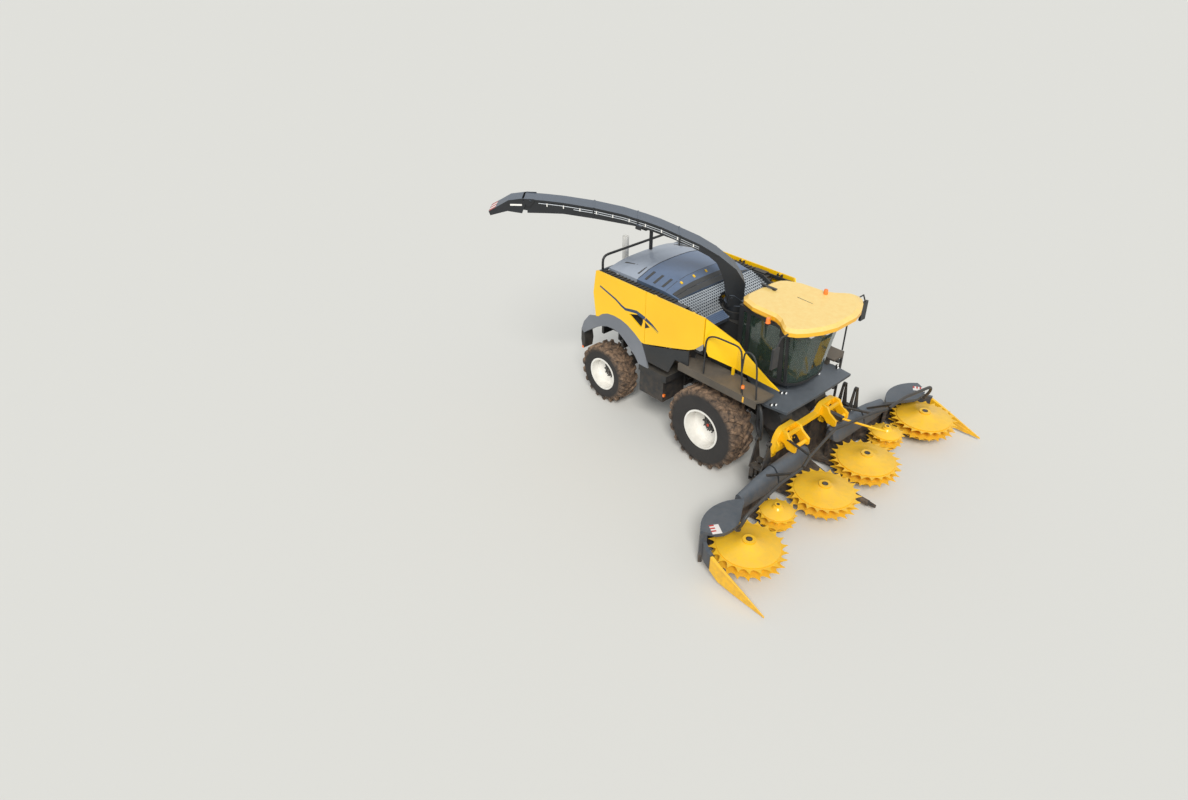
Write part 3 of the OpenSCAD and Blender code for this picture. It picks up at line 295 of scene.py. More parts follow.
def drive_tyre(end, side, bead_r, lugs):
    """A tyre in the CAD tyre's box. The carcass is a turned profile. A lug runs from the
    middle plane to the shoulder: at share s of its way it lies at 0.015w + 0.485w s across
    and has turned back by sweep s^0.8; its top falls off towards the shoulder."""
    node = f"{end}_tyre_{side}"
    low, high = [np.array(corner) * 1000 - (axle * 1000, 0, 0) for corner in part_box(node)]
    centre, width, radius = (low + high) / 2, high[1] - low[1], (high[2] - low[2]) / 2
    base = radius - 40
    wall_r = (bead_r + base) / 2 + 10
    half = [(base, 0.0), (base - 2, 0.2), (base - 12, 0.36), (base - 34, 0.43), (base - 72, 0.468),
            (wall_r + 60, 0.486), (wall_r, 0.489), (wall_r - 50, 0.484), (bead_r + 84, 0.468),
            (bead_r + 76, 0.468), (bead_r + 56, 0.455), (bead_r + 30, 0.44), (bead_r + 1, 0.43)]
    profile = [(r, y * width) for r, y in half] + [(r, -y * width) for r, y in half[:0:-1]]
    shapes = [turned(profile, centre, "y", 96, loop=True)]
    s = np.linspace(0, 1, 9)[:, None, None]
    lug = np.arange(lugs)[None, :, None]
    across = (0.015 + 0.485 * s) * width
    top = radius - 1 - 8 * s ** 2 - 62 * np.clip((s - 0.86) / 0.14, 0, 1) ** 1.5
    foot = base - 14 - 78 * np.clip((s - 0.72) / 0.28, 0, 1)
    at_foot = np.array([True, False, False, True])
    before = np.array([-1, -1, 1, 1])
    spread = (np.where(at_foot, 42.0, 25.0) + 12 * s) * before
    reach = np.where(at_foot, foot, top) + 0 * lug
    for hand, offset in ((1, 0.0), (-1, 0.5)):
        turn = 2 * np.pi * (lug + offset) / lugs - 0.36 * width / radius * s ** 0.8 + spread / radius
        points = np.stack([centre[0] + reach * np.sin(turn), centre[1] + hand * across + 0 * turn,
                           centre[2] + reach * np.cos(turn)], -1)
        shapes += [loft(points[:, i]) for i in range(lugs)]
    rubber = tyre_rubber(f"soiled_rubber_{end}_{side}", node)
    dress(rubber, node)
    body = f"{end}_wheel_{side}"
    tyre = piece(f"treaded_tyre_{end}_{side}", body, {rubber: shapes}, edge=50)
    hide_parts(node)


def paint_hub(node, material, centre_x, centre_z, radius, depth):
    """Gives a second material to the faces of a rim that lie near its axis and far out."""
    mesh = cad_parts[node].data
    mesh.materials.append(material)
    centres = np.empty(3 * len(mesh.polygons))
    mesh.polygons.foreach_get("center", centres)
    index = np.empty(len(mesh.polygons), int)
    mesh.polygons.foreach_get("material_index", index)
    x, y, z = ((centres.reshape(-1, 3) - (axle, 0, 0)) * 1000).T
    index[(np.hypot(x - centre_x, z - centre_z) < radius) & (abs(y) > depth)] = 1
    mesh.polygons.foreach_set("material_index", index)


rim_paint = finish("gloss_white_rim_paint", "#f4f2ec", "#eae7df", 0.3, coat=0.5, soil_top=1.4,
                   soil_share=0.2, top_dust_and_sheen_share=0.05)
hub_paint = finish("black_hub_paint", "#1b1c1e", "#26282a", 0.4, coat=0.2, soil_share=0.3)
cap_paint = finish("red_hub_cap", "#d8401c", "#c93a1a", 0.4, coat=0.3, soil_share=0.1)
# Columns: end, axle's x and height, bead radius, lugs a side, hub radius, wheel disc's y and
# the y from which the hub is painted.
wheel_table = [("front", 0, 900, 415, 20, 132, -1092, 1005), ("rear", -3200, 705, 365, 18, 102, -942, 885)]
stud_count, stud_ring = 10, 62
stud_profile = [(0, 30), (13, 30), (13, -34), (8, -36), (0, -36)]
for (end, wheel_x, wheel_z, bead_r, lugs, hub_r, disc_y, hub_y), side in itertools.product(
        wheel_table, ("right", "left")):
    dress(rim_paint, f"{end}_rim_{side}")
    drive_tyre(end, side, bead_r, lugs)
    paint_hub(f"{end}_rim_{side}", hub_paint, wheel_x, wheel_z, hub_r + 48, hub_y)
    reach = hub_r + stud_ring
    studs = []
    for a in np.arange(stud_count) * 2 * math.pi / stud_count:
        spot = (wheel_x + reach * math.cos(a), disc_y, wheel_z + reach * math.sin(a))
        studs.append(turned(stud_profile, spot, "y", 6))
    cap = [disc(30, -12, (wheel_x, disc_y - 97, wheel_z), "y", 20)] if end == "front" else []
    piece(f"wheel_studs_{end}_{side}", f"{end}_wheel_{side}",
          {hub_paint: flipped(studs, side), cap_paint: flipped(cap, side)})

# Body panels: moulded panels in gloss yellow two-pack paint over steel frames, with grey
# moulded wheel arches and black plastic below.
# The paler yellow laid on faces that look up is a painted sunlit top.
yellow_paint = finish("gloss_yellow_panel_paint", "#ffcd08", "#fcc404", 0.35, coat=0.2, patch_mm=1500,
                      soil_top=2.4, soil_share=0.15, top_dust_and_sheen="#fdd53c", top_dust_and_sheen_share=0.25)
arch_plastic = finish("grained_grey_arch_plastic", "#72767d", "#7d8188", 0.6, patch_mm=900,
                      soil_top=2.2, soil_share=0.3, top_dust_and_sheen_share=0.3)
black_plastic = finish("moulded_black_plastic", "#1e2022", "#292b2d", 0.55, soil_top=2.2,
                       soil_share=0.35, top_dust_and_sheen_share=0.2)
slate_plastic = finish("moulded_slate_plastic", "#3a4047", "#454b52", 0.5, soil_top=1.6,
                       soil_share=0.3, top_dust_and_sheen="#8b9299", top_dust_and_sheen_share=0.35)
deck_steel = finish("worn_deck_tread_plate", "#4d4943", "#645d53", 0.65, metallic=0.2, soil_top=2.6,
                    soil_share=0.6, top_dust_and_sheen="#7f7568", top_dust_and_sheen_share=0.6)
dress(yellow_paint, "rear_cowls", "front_cowls", "side_door_right", "side_door_left")
dress(arch_plastic, "rear_mudguards")
dress(black_plastic, "lower_panels", "louvre_panels", "handrails", "ladder", "side_boxes")
dress(slate_plastic, "tail_screen", "front_platform")
dress(deck_steel, "walkways")


# On the panels: blue and green stripes of film and the black end of the vent on the door.
# They lie on the panel's face and end at the joint between panel and door.
def prism(outline, start, end, along="y"):
    """A flat outline, given in the two other axes, drawn out along one axis from start to end."""
    axis = "xyz".index(along)
    flat = np.asarray(outline, float)
    return loft([np.insert(flat, axis, place, axis=1) for place in (start, end)])


stripe_blue = finish("blue_stripe_film", "#16304f", "#1c3c60", 0.35, coat=0.4, soil_share=0.05,
                     top_dust_and_sheen_share=0.0)
stripe_green = finish("green_stripe_film", "#2c6a45", "#347550", 0.35, coat=0.4, soil_share=0.05,
                      top_dust_and_sheen_share=0.0)
panel_face = -1400


def ribbon(line, half_start, half_end):
    """A film stripe along a line of (x, z) on the side panel; half its width changes evenly."""
    line = np.array(line, float)
    way = np.gradient(line, axis=0)
    aside = np.stack([-way[:, 1], way[:, 0]], -1) / np.linalg.norm(way, axis=1, keepdims=True)
    half = np.linspace(half_start, half_end, len(line))[:, None]
    edges = np.stack([line + aside * half, line - aside * half], 1)
    outer, inner = [np.insert(edges, 1, y, axis=2) for y in (panel_face - 1.2, panel_face - 0.1)]
    return loft(np.concatenate([outer, inner[:, ::-1]], 1))


stripe_rear = ribbon([(-3066, 3034), (-2577, 2890), (-2400, 2805), (-2280, 2768), (-2100, 2800),
                      (-1950, 2822), (-1708, 2765)], 18, 40)
stripe_door = ribbon([(-1692, 2760), (-1500, 2700), (-1318, 2606)], 40, 8)
green_door = ribbon([(-1692, 2728), (-1510, 2664), (-1330, 2570)], 5, 3)
vent_end = prism([(-1694, 2690), (-1560, 2617), (-1694, 2548)], panel_face - 1, panel_face - 0.1)
for side in ("right", "left"):
    piece("stripe_rear_" + side, "machine", {stripe_blue: flipped([stripe_rear], side)})
    piece("stripe_door_" + side, "side_door_" + side,
          {stripe_blue: flipped([stripe_door], side), stripe_green: flipped([green_door], side),
           black_plastic: flipped([vent_end], side)})


# Behind the wheel arches: black moulded flaps, each with an orange lamp at its foot.
def block(low, high):
    """A box between two corners."""
    points = np.array(list(itertools.product(*zip(low, high))), float)
    return points, [(0, 1, 3, 2), (4, 6, 7, 5), (0, 4, 5, 1), (2, 3, 7, 6), (0, 2, 6, 4), (1, 5, 7, 3)]


def mirrored(shapes):
    """The shapes and their mirror images on the machine's other side."""
    return shapes + [(points * (1, -1, 1), faces) for points, faces in shapes]


orange_lens = finish("orange_lamp_lens", "#f26a1b", "#ff8a2a", 0.15, coat=1.0, soil_share=0.0,
                     top_dust_and_sheen_share=0.0)
tail_flap = prism([(-3690, 1765), (-3606, 1705), (-3570, 1520), (-3610, 1300), (-3665, 1290),
                   (-3705, 1500)], -1396, -1130)
tail_lamp = block((-3675, -1404, 1292), (-3618, -1340, 1345))
piece("arch_tail_flaps", "machine", {black_plastic: mirrored([tail_flap]),
                                     orange_lens: mirrored([tail_lamp])}, bevel=8)


# Handrails: bent black tubes that stand on the deck's edge, two hoops a side. Each hoop is a
# line of (x, z) with its corners cut off; on the left they leave the way to the door free.
def rounded(path, cut, steps=4):
    """A path whose corners are cut off cut mm from them and filled with a quadratic curve:
    (1-t)^2 a + 2t(1-t) corner + t^2 b."""
    path = np.asarray(path, float)
    t = np.linspace(0, 1, steps + 1)[:, None]
    runs = [path[:1]]
    for before, corner, after in zip(path, path[1:], path[2:]):
        a = corner + (before - corner) * min(cut / np.linalg.norm(before - corner), 0.5)
        b = corner + (after - corner) * min(cut / np.linalg.norm(after - corner), 0.5)
        runs.append((1 - t) ** 2 * a + 2 * t * (1 - t) * corner + t ** 2 * b)
    return np.concatenate(runs + [path[-1:]])


def tube(path, radius, sides=10, cut=0.0):
    """A round bar along a path: a ring of points square to the path at each of its points."""
    path = rounded(path, cut) if cut else np.asarray(path, float)
    way = np.gradient(path, axis=0)
    way /= np.linalg.norm(way, axis=1, keepdims=True)
    upright = abs(way[:, 2]).max() >= 0.95
    aside = np.array([0.31, 0.95, 0.05]) if upright else np.array([0.0, 0.0, 1.0])
    first = np.cross(way, aside)
    first /= np.linalg.norm(first, axis=1, keepdims=True)
    second = np.cross(way, first)
    turn = np.linspace(0, 2 * np.pi, sides, endpoint=False)[None, :, None]
    return loft(path[:, None] + radius * (np.cos(turn) * first[:, None] + np.sin(turn) * second[:, None]))


deck_top = 2203
rail_r, rail_sides = 17, 12
hoops = [(-1408, 150, [(-60, deck_top), (-60, 2985), (120, 3090), (780, 3110), (890, deck_top)]),
         (-1408, 130, [(835, 2640), (860, 3085), (1060, 3085), (1160, 2890), (1230, deck_top)]),
         (1405, 90, [(160, deck_top), (160, 2740), (40, 2810), (40, deck_top)]),
         (1405, 110, [(1230, deck_top), (1230, 2920), (950, 2950), (950, deck_top)])]
rails = [tube([(x, y, z) for x, z in line], rail_r, rail_sides, cut=cut) for y, cut, line in hoops]
made = piece("bent_handrails", "machine", {chassis_paint: rails})
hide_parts("handrails")

# Lamps: small round twin lamps on short feet at the platform's edge, work lamps under the
# roof's brim, a beacon on its post, and orange lamps and a reflector along the deck.
white_lens = finish("white_lamp_lens", "#f4f4f0", "#ffffff", 0.12, coat=1.0, soil_share=0.0,
                    top_dust_and_sheen_share=0.0)
reflector_film = finish("yellow_reflector", "#f0b020", "#f6bd3a", 0.3, coat=0.6, soil_share=0.1,
                        top_dust_and_sheen_share=0.0)
bulb_profile = [(0, 0), (24, 0), (27, 8), (20, 16), (0, 19)]
shell_profile = [(0, -34), (20, -34), (29, -6), (30, 4), (0, 4)]
platform_top, lamp_height = 1979, 33
bulbs, shells = [], []
for x, y in ((1215, -600), (1275, -545), (1345, -1085), (1395, -1020)):
    middle = (x + 22, y, platform_top + lamp_height)
    bulbs.append(turned(bulb_profile, middle, "x", 20))
    shells.append(turned(shell_profile, middle, "x", 20))
    shells.append(block((x - 8, y - 5, platform_top), (x + 4, y + 5, platform_top + 11)))
brim = [block((1885 + y * 0.35, y - 50, 3412), (1935 + y * 0.35, y + 50, 3472)) for y in (-300, -620)]
beacon_profile = [(0, 0), (50, 0), (50, 12), (44, 18), (42, 84), (32, 104), (0, 109)]
beacon = turned(beacon_profile, (900, -870, 3482), "z", 28)
dress(orange_lens, "lamps")
made = piece("work_lamps", "machine", {white_lens: mirrored(bulbs + brim), orange_lens: [beacon],
                                       chassis_paint: mirrored(shells)})
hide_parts("lamps")
stalk = tube([(930, -1425, 2172), (930, -1440, 2230), (925, -1440, 2330)], 9)
deck_lamp = turned([(0, 0), (34, 0), (36, 30), (30, 58), (0, 64)], (925, -1440, 2325), "z", 20)
side_lamp = block((-1139, -1372, 1130), (-1095, -1325, 1185))
reflector = block((940, -1446, 2030), (978, -1440.5, 2150))
piece("deck_lamps", "machine", {chassis_paint: mirrored([stalk]),
                                orange_lens: mirrored([deck_lamp, side_lamp]),
                                reflector_film: mirrored([reflector])}, bevel=3)


# Hood: moulded lid over the engine in two lengths, light grey behind and blue grey in front,
# paler and bluer on top with dust and a painted sky reflection, with three slots a side drawn
# as dark plates of painted shade, inspection plates and small yellow catches. It stands on the
# two hoops. Beside it black louvres close the channel to the side panels.
def moved(shape, offset):
    """A shape moved by an offset."""
    return shape[0] + np.asarray(offset, float), shape[1]


# Both hood colours turn paler and bluer on faces that look up: dust and a painted sky reflection.
hood_grey = finish("moulded_hood_grey", "#7f8995", "#8f98a5", 0.4, coat=0.2, soil_share=0.0,
                   top_dust_and_sheen="#a9b1be", top_dust_and_sheen_share=0.75)
hood_blue = finish("moulded_hood_blue_grey", "#3a4759", "#465568", 0.35, coat=0.3, soil_share=0.0,
                   top_dust_and_sheen="#6c80a0", top_dust_and_sheen_share=0.7)
hood_dark = finish("dark_hood_inserts_and_painted_slot_shade", "#23272c", "#2b3036", 0.5, soil_share=0.0, top_dust_and_sheen_share=0.15)
hood_low, hood_back, hood_front = 3300, -3139, -1081
hood_places = [hood_back, -2450, -1450, hood_front]
hood_widths = [1090, 1130, 1130, 1110]
hood_edges = [3335, 3375, 3370, 3314]
hood_crowns = [3440, 3570, 3550, 3345]


def hood_ring(x):
    """The hood's section at x: a low edge, two chamfers and a crown, from tables along x."""
    w, edge, crown = [np.interp(x, hood_places, table) for table in (hood_widths, hood_edges, hood_crowns)]
    y = np.array([-1, -0.99, -0.66, -0.4, -0.1]) * w
    z = [hood_low, edge, edge + 0.68 * (crown - edge), edge + 0.93 * (crown - edge), crown]
    half = np.stack([np.full(5, x), y, z], -1)
    return np.concatenate([half, half[::-1] * (1, -1, 1)])


def on_hood(x0, x1, y0, y1, lift=4.0, count=7):
    """A thin plate that lies on the hood between two places and two widths."""
    y = np.linspace(y0, y1, count)
    rings = []
    for x, more in ((x0, lift), (x1, lift), (x1, -6.0), (x0, -6.0)):
        ring = hood_ring(x)
        rings.append(np.stack([np.full(count, x), y, np.interp(y, ring[1:9, 1], ring[1:9, 2]) + more], -1))
    return loft(np.stack(rings, 1))


rear_lid = loft([hood_ring(x) for x in (hood_back, -2450, -2246)])
front_lid = loft([hood_ring(x) for x in (-2240, -1450, hood_front)])
lid_edge, seam_half = 1080, 3
# The three slots a side are dark plates standing for shaded recesses: painted shade.
marks = mirrored([on_hood(x, x + 64, -1040, -770) for x in (-2110, -1870, -1630)])
marks += mirrored([on_hood(x0, x1, -980, -740, 3) for x0, x1 in ((-2960, -2680), (-2630, -2330))])
marks += [on_hood(x0, x1, -lid_edge, lid_edge, lift, 15)
          for x0, x1, lift in ((-2250, -2236, 5), (-1460, -1450, 2.5))]
marks += [on_hood(-2240, -1100, y - seam_half, y + seam_half, 2.5, 3) for y in (-440, 0, 440)]
marks += [on_hood(x0, x1, -1070, 1070, 6, 15) for x0, x1 in ((-1290, -1200), (-1192, -1085))]
catches = [on_hood(-1400, -1348, y - 22, y + 22, 14, 3) for y in (-720, -350, 20)]
hood = piece("hood_lid", "machine", {hood_grey: [rear_lid], hood_blue: [front_lid], hood_dark: marks,
                                     yellow_paint: catches}, edge=18)
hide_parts("hood")
dress(hood_blue, "hood")
channel_floor = block((hood_back, -1300, hood_low), (-1075, -1130, hood_low + 6))
slat = prism([(0, 3306), (52, 3306), (66, 3334), (58, 3336)], -1288, -1145)
slats = [moved(slat, (x, 0, 0)) for x in range(-3100, -1120, 104)]
piece("channel_louvres", "machine", {black_plastic: mirrored([channel_floor] + slats)})

# Cooling intake: a stainless bar grid over a dark screen, sloping down from the hood towards
# the cab, with a blue-grey strip at its foot whose perforations are dark discs of painted
# shade, cut round the turret.
grille_steel = finish("stainless_grille_bars", "#bcc4cb", "#d2d8dd", 0.3, metallic=0.55, soil_share=0.0,
                      top_dust_and_sheen_share=0.1)
screen_and_hole_shade = finish("dark_screen_and_painted_hole_shade", "#272c33", "#30363e", 0.7, soil_share=0.0,
                     top_dust_and_sheen_share=0.0)
slope_bend = -760.0
slope_x = np.array([-1075.0, slope_bend, -330.0])
slope_z = np.array([3312.0, 3196.0, 2978.0])
slew_x = -450
turret_gap = 402.0
grille_back, grille_front, grille_edge = -1072, -335, 1150


def slope_height(x):
    """Height of the grille at x, along its two straight lengths."""
    return np.interp(x, slope_x, slope_z)


def bar(x0, x1, y0, y1, thick=7.0, lift=0.0):
    """A flat bar on the slope between two places and two widths."""
    x = np.unique(np.clip([x0, slope_bend, x1], x0, x1))
    top = np.stack([x, slope_height(x)], -1)
    return moved(prism(np.concatenate([top, top[::-1] - (0, thick)]), y0, y1), (0, 0, lift))


def half_gap(reach):
    """Half the opening round the turret at a distance from its axis, by Pythagoras, or 0."""
    return math.sqrt(turret_gap ** 2 - reach * reach) if abs(reach) < turret_gap else 0


bars = []
for y in np.arange(-1130, 1131, 62.0):
    gap = half_gap(y)
    bars.append(bar(grille_back, slew_x - gap if gap else grille_front, y - 9, y + 9))
for x in np.arange(-1060, -340, 58.0):
    gap = half_gap(x - slew_x)
    spans = [(-grille_edge, -gap), (gap, grille_edge)] if gap else [(-grille_edge, grille_edge)]
    bars += [bar(x, x + 17, y0, y1, 10) for y0, y1 in spans]
screen = [bar(grille_back, grille_front, turret_gap, grille_edge, 60, -14),
          bar(grille_back, grille_front, -grille_edge, -turret_gap, 60, -14),
          bar(grille_back, slew_x - turret_gap, -turret_gap, turret_gap, 60, -14)]
foot_strip = mirrored([bar(-520, grille_front, -grille_edge, -410, 4, 2)])
# The perforations are dark discs lying on the strip: painted shade of the holes.
painted_hole_shade = mirrored([disc(11, 1.5, (x, y, slope_height(x) + 2.5), "z", 8)
                  for x in range(-500, -345, 34) for y in range(-1130, -420, 40)])
grille = piece("grille_bars", "machine", {grille_steel: bars, screen_and_hole_shade: screen + painted_hole_shade,
                                          hood_blue: foot_strip})
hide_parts("cooling_grille")
dress(grille_steel, "cooling_grille")

# Cab: black steel frame, yellow moulded roof whose pale top is painted sunlight, cloth seat,
# and green tinted glass whose gloss is uneven with smears. The roof carries a slit drawn as a
# black plate of painted shade, a bracket and a second beacon, the mirrors their glass, and a
# plain console stands beside the seat.
# The pale top, dust colour at full share on faces that look up, is painted sunlight; the sides keep the
# darker yellow.
roof_gelcoat = finish("yellow_roof_with_painted_sunlit_top", "#f4b92a", "#efb01e", 0.4, coat=0.3, patch_mm=1500,
                      soil_share=0.0, top_dust_and_sheen="#fbdc8c", top_dust_and_sheen_share=1.0)
seat_cloth = finish("woven_grey_seat_cloth", "#3a3d42", "#474a50", 0.9, grain_mm=6, soil_share=0.0)
mirror_silver = finish("mirror_silver", "#cfd6da", "#dbe1e4", 0.05, metallic=1.0, grain_depth_mm=0.0,
                       soil_share=0.0, top_dust_and_sheen_share=0.0)
cab_glass, tree, shader = new_material("green_tinted_safety_glass")
glass_look = {"Base Color": linear("#5f786c"), "IOR": 1.5, "Transmission Weight": 0.8, "Alpha": 0.82}
for key, value in glass_look.items():
    shader.inputs[key].default_value = value
where = add(tree, "ShaderNodeTexCoord")
film = add(tree, "ShaderNodeTexNoise", {"Vector": where.outputs["Object"], "Scale": 3.0, "Detail": 5.0})
smears = {"Value": film.outputs["Fac"], "From Min": 0.4, "From Max": 0.8, "To Min": 0.01, "To Max": 0.12}
tree.links.new(add(tree, "ShaderNodeMapRange", smears).outputs[0], shader.inputs["Roughness"])
dress(chassis_paint, "cab_frame", "cab_door", "cab_mirrors")
dress(roof_gelcoat, "cab_roof")
dress(seat_cloth, "cab_seat")
dress(cab_glass, "cab_glass", "cab_door_glass")
mirror_glass = block((1479, -1492, 3008), (1485, -1338, 3392))
# The slit is a thin black plate on the roof: painted shade.
roof_slit_shade = prism([(800, 118), (1160, 92), (1168, 104), (806, 134)], 3648, 3653, "z")
bracket = [block((40, 20, 3640), (120, 60, 3688)), block((0, 10, 3680), (380, 70, 3694)),
           block((290, 20, 3640), (350, 60, 3688))]
far_beacon = turned([(0, 0), (44, 0), (42, 80), (30, 100), (0, 104)], (1080, 640, 3650), "z", 24)
piece("roof_fittings", "machine", {chassis_paint: [roof_slit_shade] + bracket, orange_lens: [far_beacon],
                                   mirror_silver: mirrored([mirror_glass])}, bevel=4)
floor_z = 2200
console = [block((620, -470, floor_z), (1090, -350, floor_z + 540)),
           tube([(1000, -410, floor_z + 535), (1030, -410, floor_z + 670)], 22, 10)]
piece("cab_console", "machine", {chassis_paint: console}, bevel=6)

# Exhaust: a white steel pipe. Spout rest: a black steel cradle on a post through the hood.
# The rail behind it is a tube with round corners that stands on the tail screen.
pipe_paint = finish("heat_dulled_white_pipe", "#e9e8e4", "#dcdad4", 0.4, soil_share=0.0)
dress(pipe_paint, "exhaust_pipe")
dress(chassis_paint, "spout_rest")
rest_x, cradle_low, cradle_half, rail_x = -2960, 4030, 275, -3160
rest = [tube([(rest_x, 0, 3520), (rest_x, 0, cradle_low + 6)], 40, 20),
        block((rest_x - 100, -cradle_half, cradle_low), (rest_x + 100, cradle_half, cradle_low + 25))]
cheek = block((rest_x - 100, -cradle_half, cradle_low), (rest_x + 100, -cradle_half + 25, cradle_low + 85))
rear_rail = tube([(rail_x, 0, 3640), (rail_x, -1240, 3640), (rail_x, -1240, 3342)], 27, 14, cut=160)
made = piece("spout_rest_and_rail", "machine", {chassis_paint: rest + mirrored([cheek, rear_rail])})
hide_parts("spout_rest")

# Spout: folded and welded sheet steel, dark slate paint, grey on top with dust and a painted
# sky reflection. Lips run along its upper corners, bolted flanges join its lengths, and two
# steel pipes lie in white clips along each side. Reaches are measured from the turret's axis.
# The blue-grey laid on faces that look up is dust and a painted sky reflection.
spout_paint = finish("dark_slate_spout_paint", "#181a1d", "#202327", 0.45, coat=0.1, soil_share=0.0,
                     top_dust_and_sheen="#69727f", top_dust_and_sheen_share=0.8)
pipe_grey = finish("zinc_plated_pipe", "#9b9fa3", "#a9adb0", 0.35, metallic=0.4, soil_share=0.0)
clip_white = finish("white_pipe_clip", "#eceae4", "#f4f2ec", 0.5, soil_share=0.0)
safety_red = finish("red_tip_stripe", "#c8352c", "#bb2e26", 0.45, soil_share=0.0)
dress(spout_paint, "turret", "spout_duct", "spout_flap")
spout_turn = math.radians(225)
duct_top = [(-60, 3640), (140, 3935), (510, 4225), (870, 4435), (1270, 4612), (1630, 4768),
            (1930, 4872), (2360, 5000), (2900, 5112), (3500, 5200), (3860, 5235), (4240, 5260)]
duct_low = [(4240, 5230), (4180, 5200), (4180, 4985), (3860, 4985), (3500, 4980), (2900, 4900),
            (2540, 4840), (2060, 4760), (1440, 4545), (1060, 4385), (700, 4200), (540, 4070),
            (430, 3860), (350, 3650), (300, 3450), (270, 3260), (60, 3240), (-60, 3310)]
top_r, top_z = np.array(duct_top, float).T


def half_duct(r):
    """Half the duct's width at a reach: 230 mm at its foot, tapering to 180 mm at its end."""
    return 230 - 50 * np.clip((r - 600) / 3640, 0, 1)


def in_spout(shape):
    """From (reach, width, height) in the parked spout to the machine's x, y, z."""
    r, w, z = shape[0].T
    c, s = math.cos(spout_turn), math.sin(spout_turn)
    return np.stack([slew_x + r * c - w * s, r * s + w * c, z], -1), shape[1]


def slab(outline, near, far):
    """A side outline (reach, height) between two widths, each a share of the duct's own half
    width plus so many mm."""
    r, z = np.array(outline, float).T
    return in_spout(loft([np.stack([r, share * half_duct(r) + more, z], -1) for share, more in (near, far)]))


def both_walls(outline, inner, outer):
    """The outline beside each of the duct's walls, from inner to outer mm out from it."""
    return [slab(outline, (side, side * inner), (side, side * outer)) for side in (-1, 1)]


def along_duct(start, end, side, drop, count=24):
    """Points 16 mm beside the duct between two reaches, so far below its top."""
    r = np.linspace(start, end, count)
    return np.stack([r, side * (half_duct(r) + 16), np.interp(r, top_r, top_z) - drop], -1)


lip_top = [p for p in duct_top if p[0] >= 510]
sheets = [slab(duct_top + duct_low, (-1, 0), (1, 0))]
sheets += both_walls(lip_top + [(r, z - 30) for r, z in lip_top[::-1]], -1, 15)
for r in (1270, 2080, 2920):
    z = float(np.interp(r, top_r, top_z))
    flange = [(r - 14, z + 7), (r + 14, z + 11), (r + 26, z - 200), (r - 2, z - 204)]
    sheets.append(slab(flange, (-1, -26), (1, 26)))
sheets += both_walls([(4090, 5233), (4130, 5241), (4134, 5223), (4094, 5215)], 14, 60)
sheets += both_walls([(2010, 4790), (2120, 4830), (2130, 4750), (2020, 4710)], 6, 80)
sheets.append(slab([(4150, 5020), (4285, 5040), (4285, 5140), (4150, 5180)], (-0.86, 0), (0.86, 0)))
flap_ear = [(4040, 5262), (4235, 5268), (4235, 5225), (4180, 5120), (4120, 5120), (4040, 5215)]
sheets += both_walls(flap_ear, 16, 34)
pipes, clips = [], []
for side in (-1, 1):
    for end, drop in ((3960, 62), (3300, 100)):
        pipes.append(in_spout(tube(along_duct(900, end, side, drop), 9, 8)))
    for r in range(1010, 3950, 310):
        x, w, z = along_duct(r, r + 1, side, 80, 2)[0]
        clips.append(in_spout(block((r - 9, w - 15, z - 27), (r + 9, w + 13, z + 27))))
duct = piece("spout_sheet_duct", "spout", {spout_paint: sheets, pipe_grey: pipes, clip_white: clips},
             edge=30)
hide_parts("spout_duct")

# On the flap: plain red and white bands across its tip and a cream bar on each side.
tip_plate = [(4790, 5084), (4912, 5015), (4909, 5010), (4787, 5079)]
band_width = 76
bands = [in_spout(prism(tip_plate, -190 + i * band_width, -190 + (i + 1) * band_width)) for i in range(5)]
side_bars = [in_spout(block((4275, y - 5, 5128), (4500, y + 5, 5160))) for y in (-203, 203)]
piece("flap_marks", "flap", {safety_red: bands[::2], clip_white: bands[1::2] + side_bars}, bevel=1.5)

# Header: smooth moulded slate covers over black walls and gearboxes, a yellow cast frame
# round the feed opening, yellow rotors and dividers, and a black push bar.
header_slate = finish("slate_header_cover", "#3a4149", "#454c54", 0.5, soil_top=1.4, soil_share=0.3,
                      top_dust_and_sheen="#6f767d", top_dust_and_sheen_share=0.5)
# The paler yellow laid on faces that look up is a painted sunlit top.
header_yellow = finish("worn_yellow_header_paint", "#fbc211", "#f4b60c", 0.4, coat=0.3, soil_top=1.2,
                       soil_share=0.25, top_dust_and_sheen="#fcd75c", top_dust_and_sheen_share=0.3)
blank_plate = finish("blank_warning_plate", "#e9e4e0", "#f2eeea", 0.5, soil_share=0.1, soil_top=2.0,
                     top_dust_and_sheen_share=0.0)
dress(header_slate, "header_centre", "wing_frame_right", "wing_frame_left")
dress(header_yellow, "feed_frame", "wing_snouts_right", "wing_snouts_left")
dress(header_yellow, *[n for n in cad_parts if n.startswith("rotor_")])
dress(chassis_paint, "feeder_housing", "drive_drums", "push_bar_centre")
back_x, wing_x, fold_y, fold_z = 1350, 1750, 1460, 1440
wall_front, wing_front = back_x + 90, wing_x + 60
outer_x, outer_y, small_x, small_y, inner_y = 2560, 3010, 2330, 1880, 730
box_low, box_high, wall_low = 120, 218, 100


def cover_ring(y, x, low, deep, high):
    """Section of a rounded cover at y: where its back stands, its foot, how deep and high."""
    deep_share = np.array([0, 0, 0.03, 0.14, 0.32, 0.55, 0.78, 0.92, 1, 1])
    high_share = np.array([0, 0.5, 0.78, 0.95, 1.0, 0.95, 0.7, 0.4, 0.06, 0])
    return np.stack([x + deep_share * deep, np.full(10, y), low + high_share * high], -1)


def cover(table):
    """A rounded cover over its table of sections, each (y, back x, foot z, deep, high)."""
    places, *columns = np.array(table, float).T
    return loft([cover_ring(y, *[np.interp(-y, -places, column) for column in columns])
                 for y in np.linspace(places[0], places[-1], 16)])


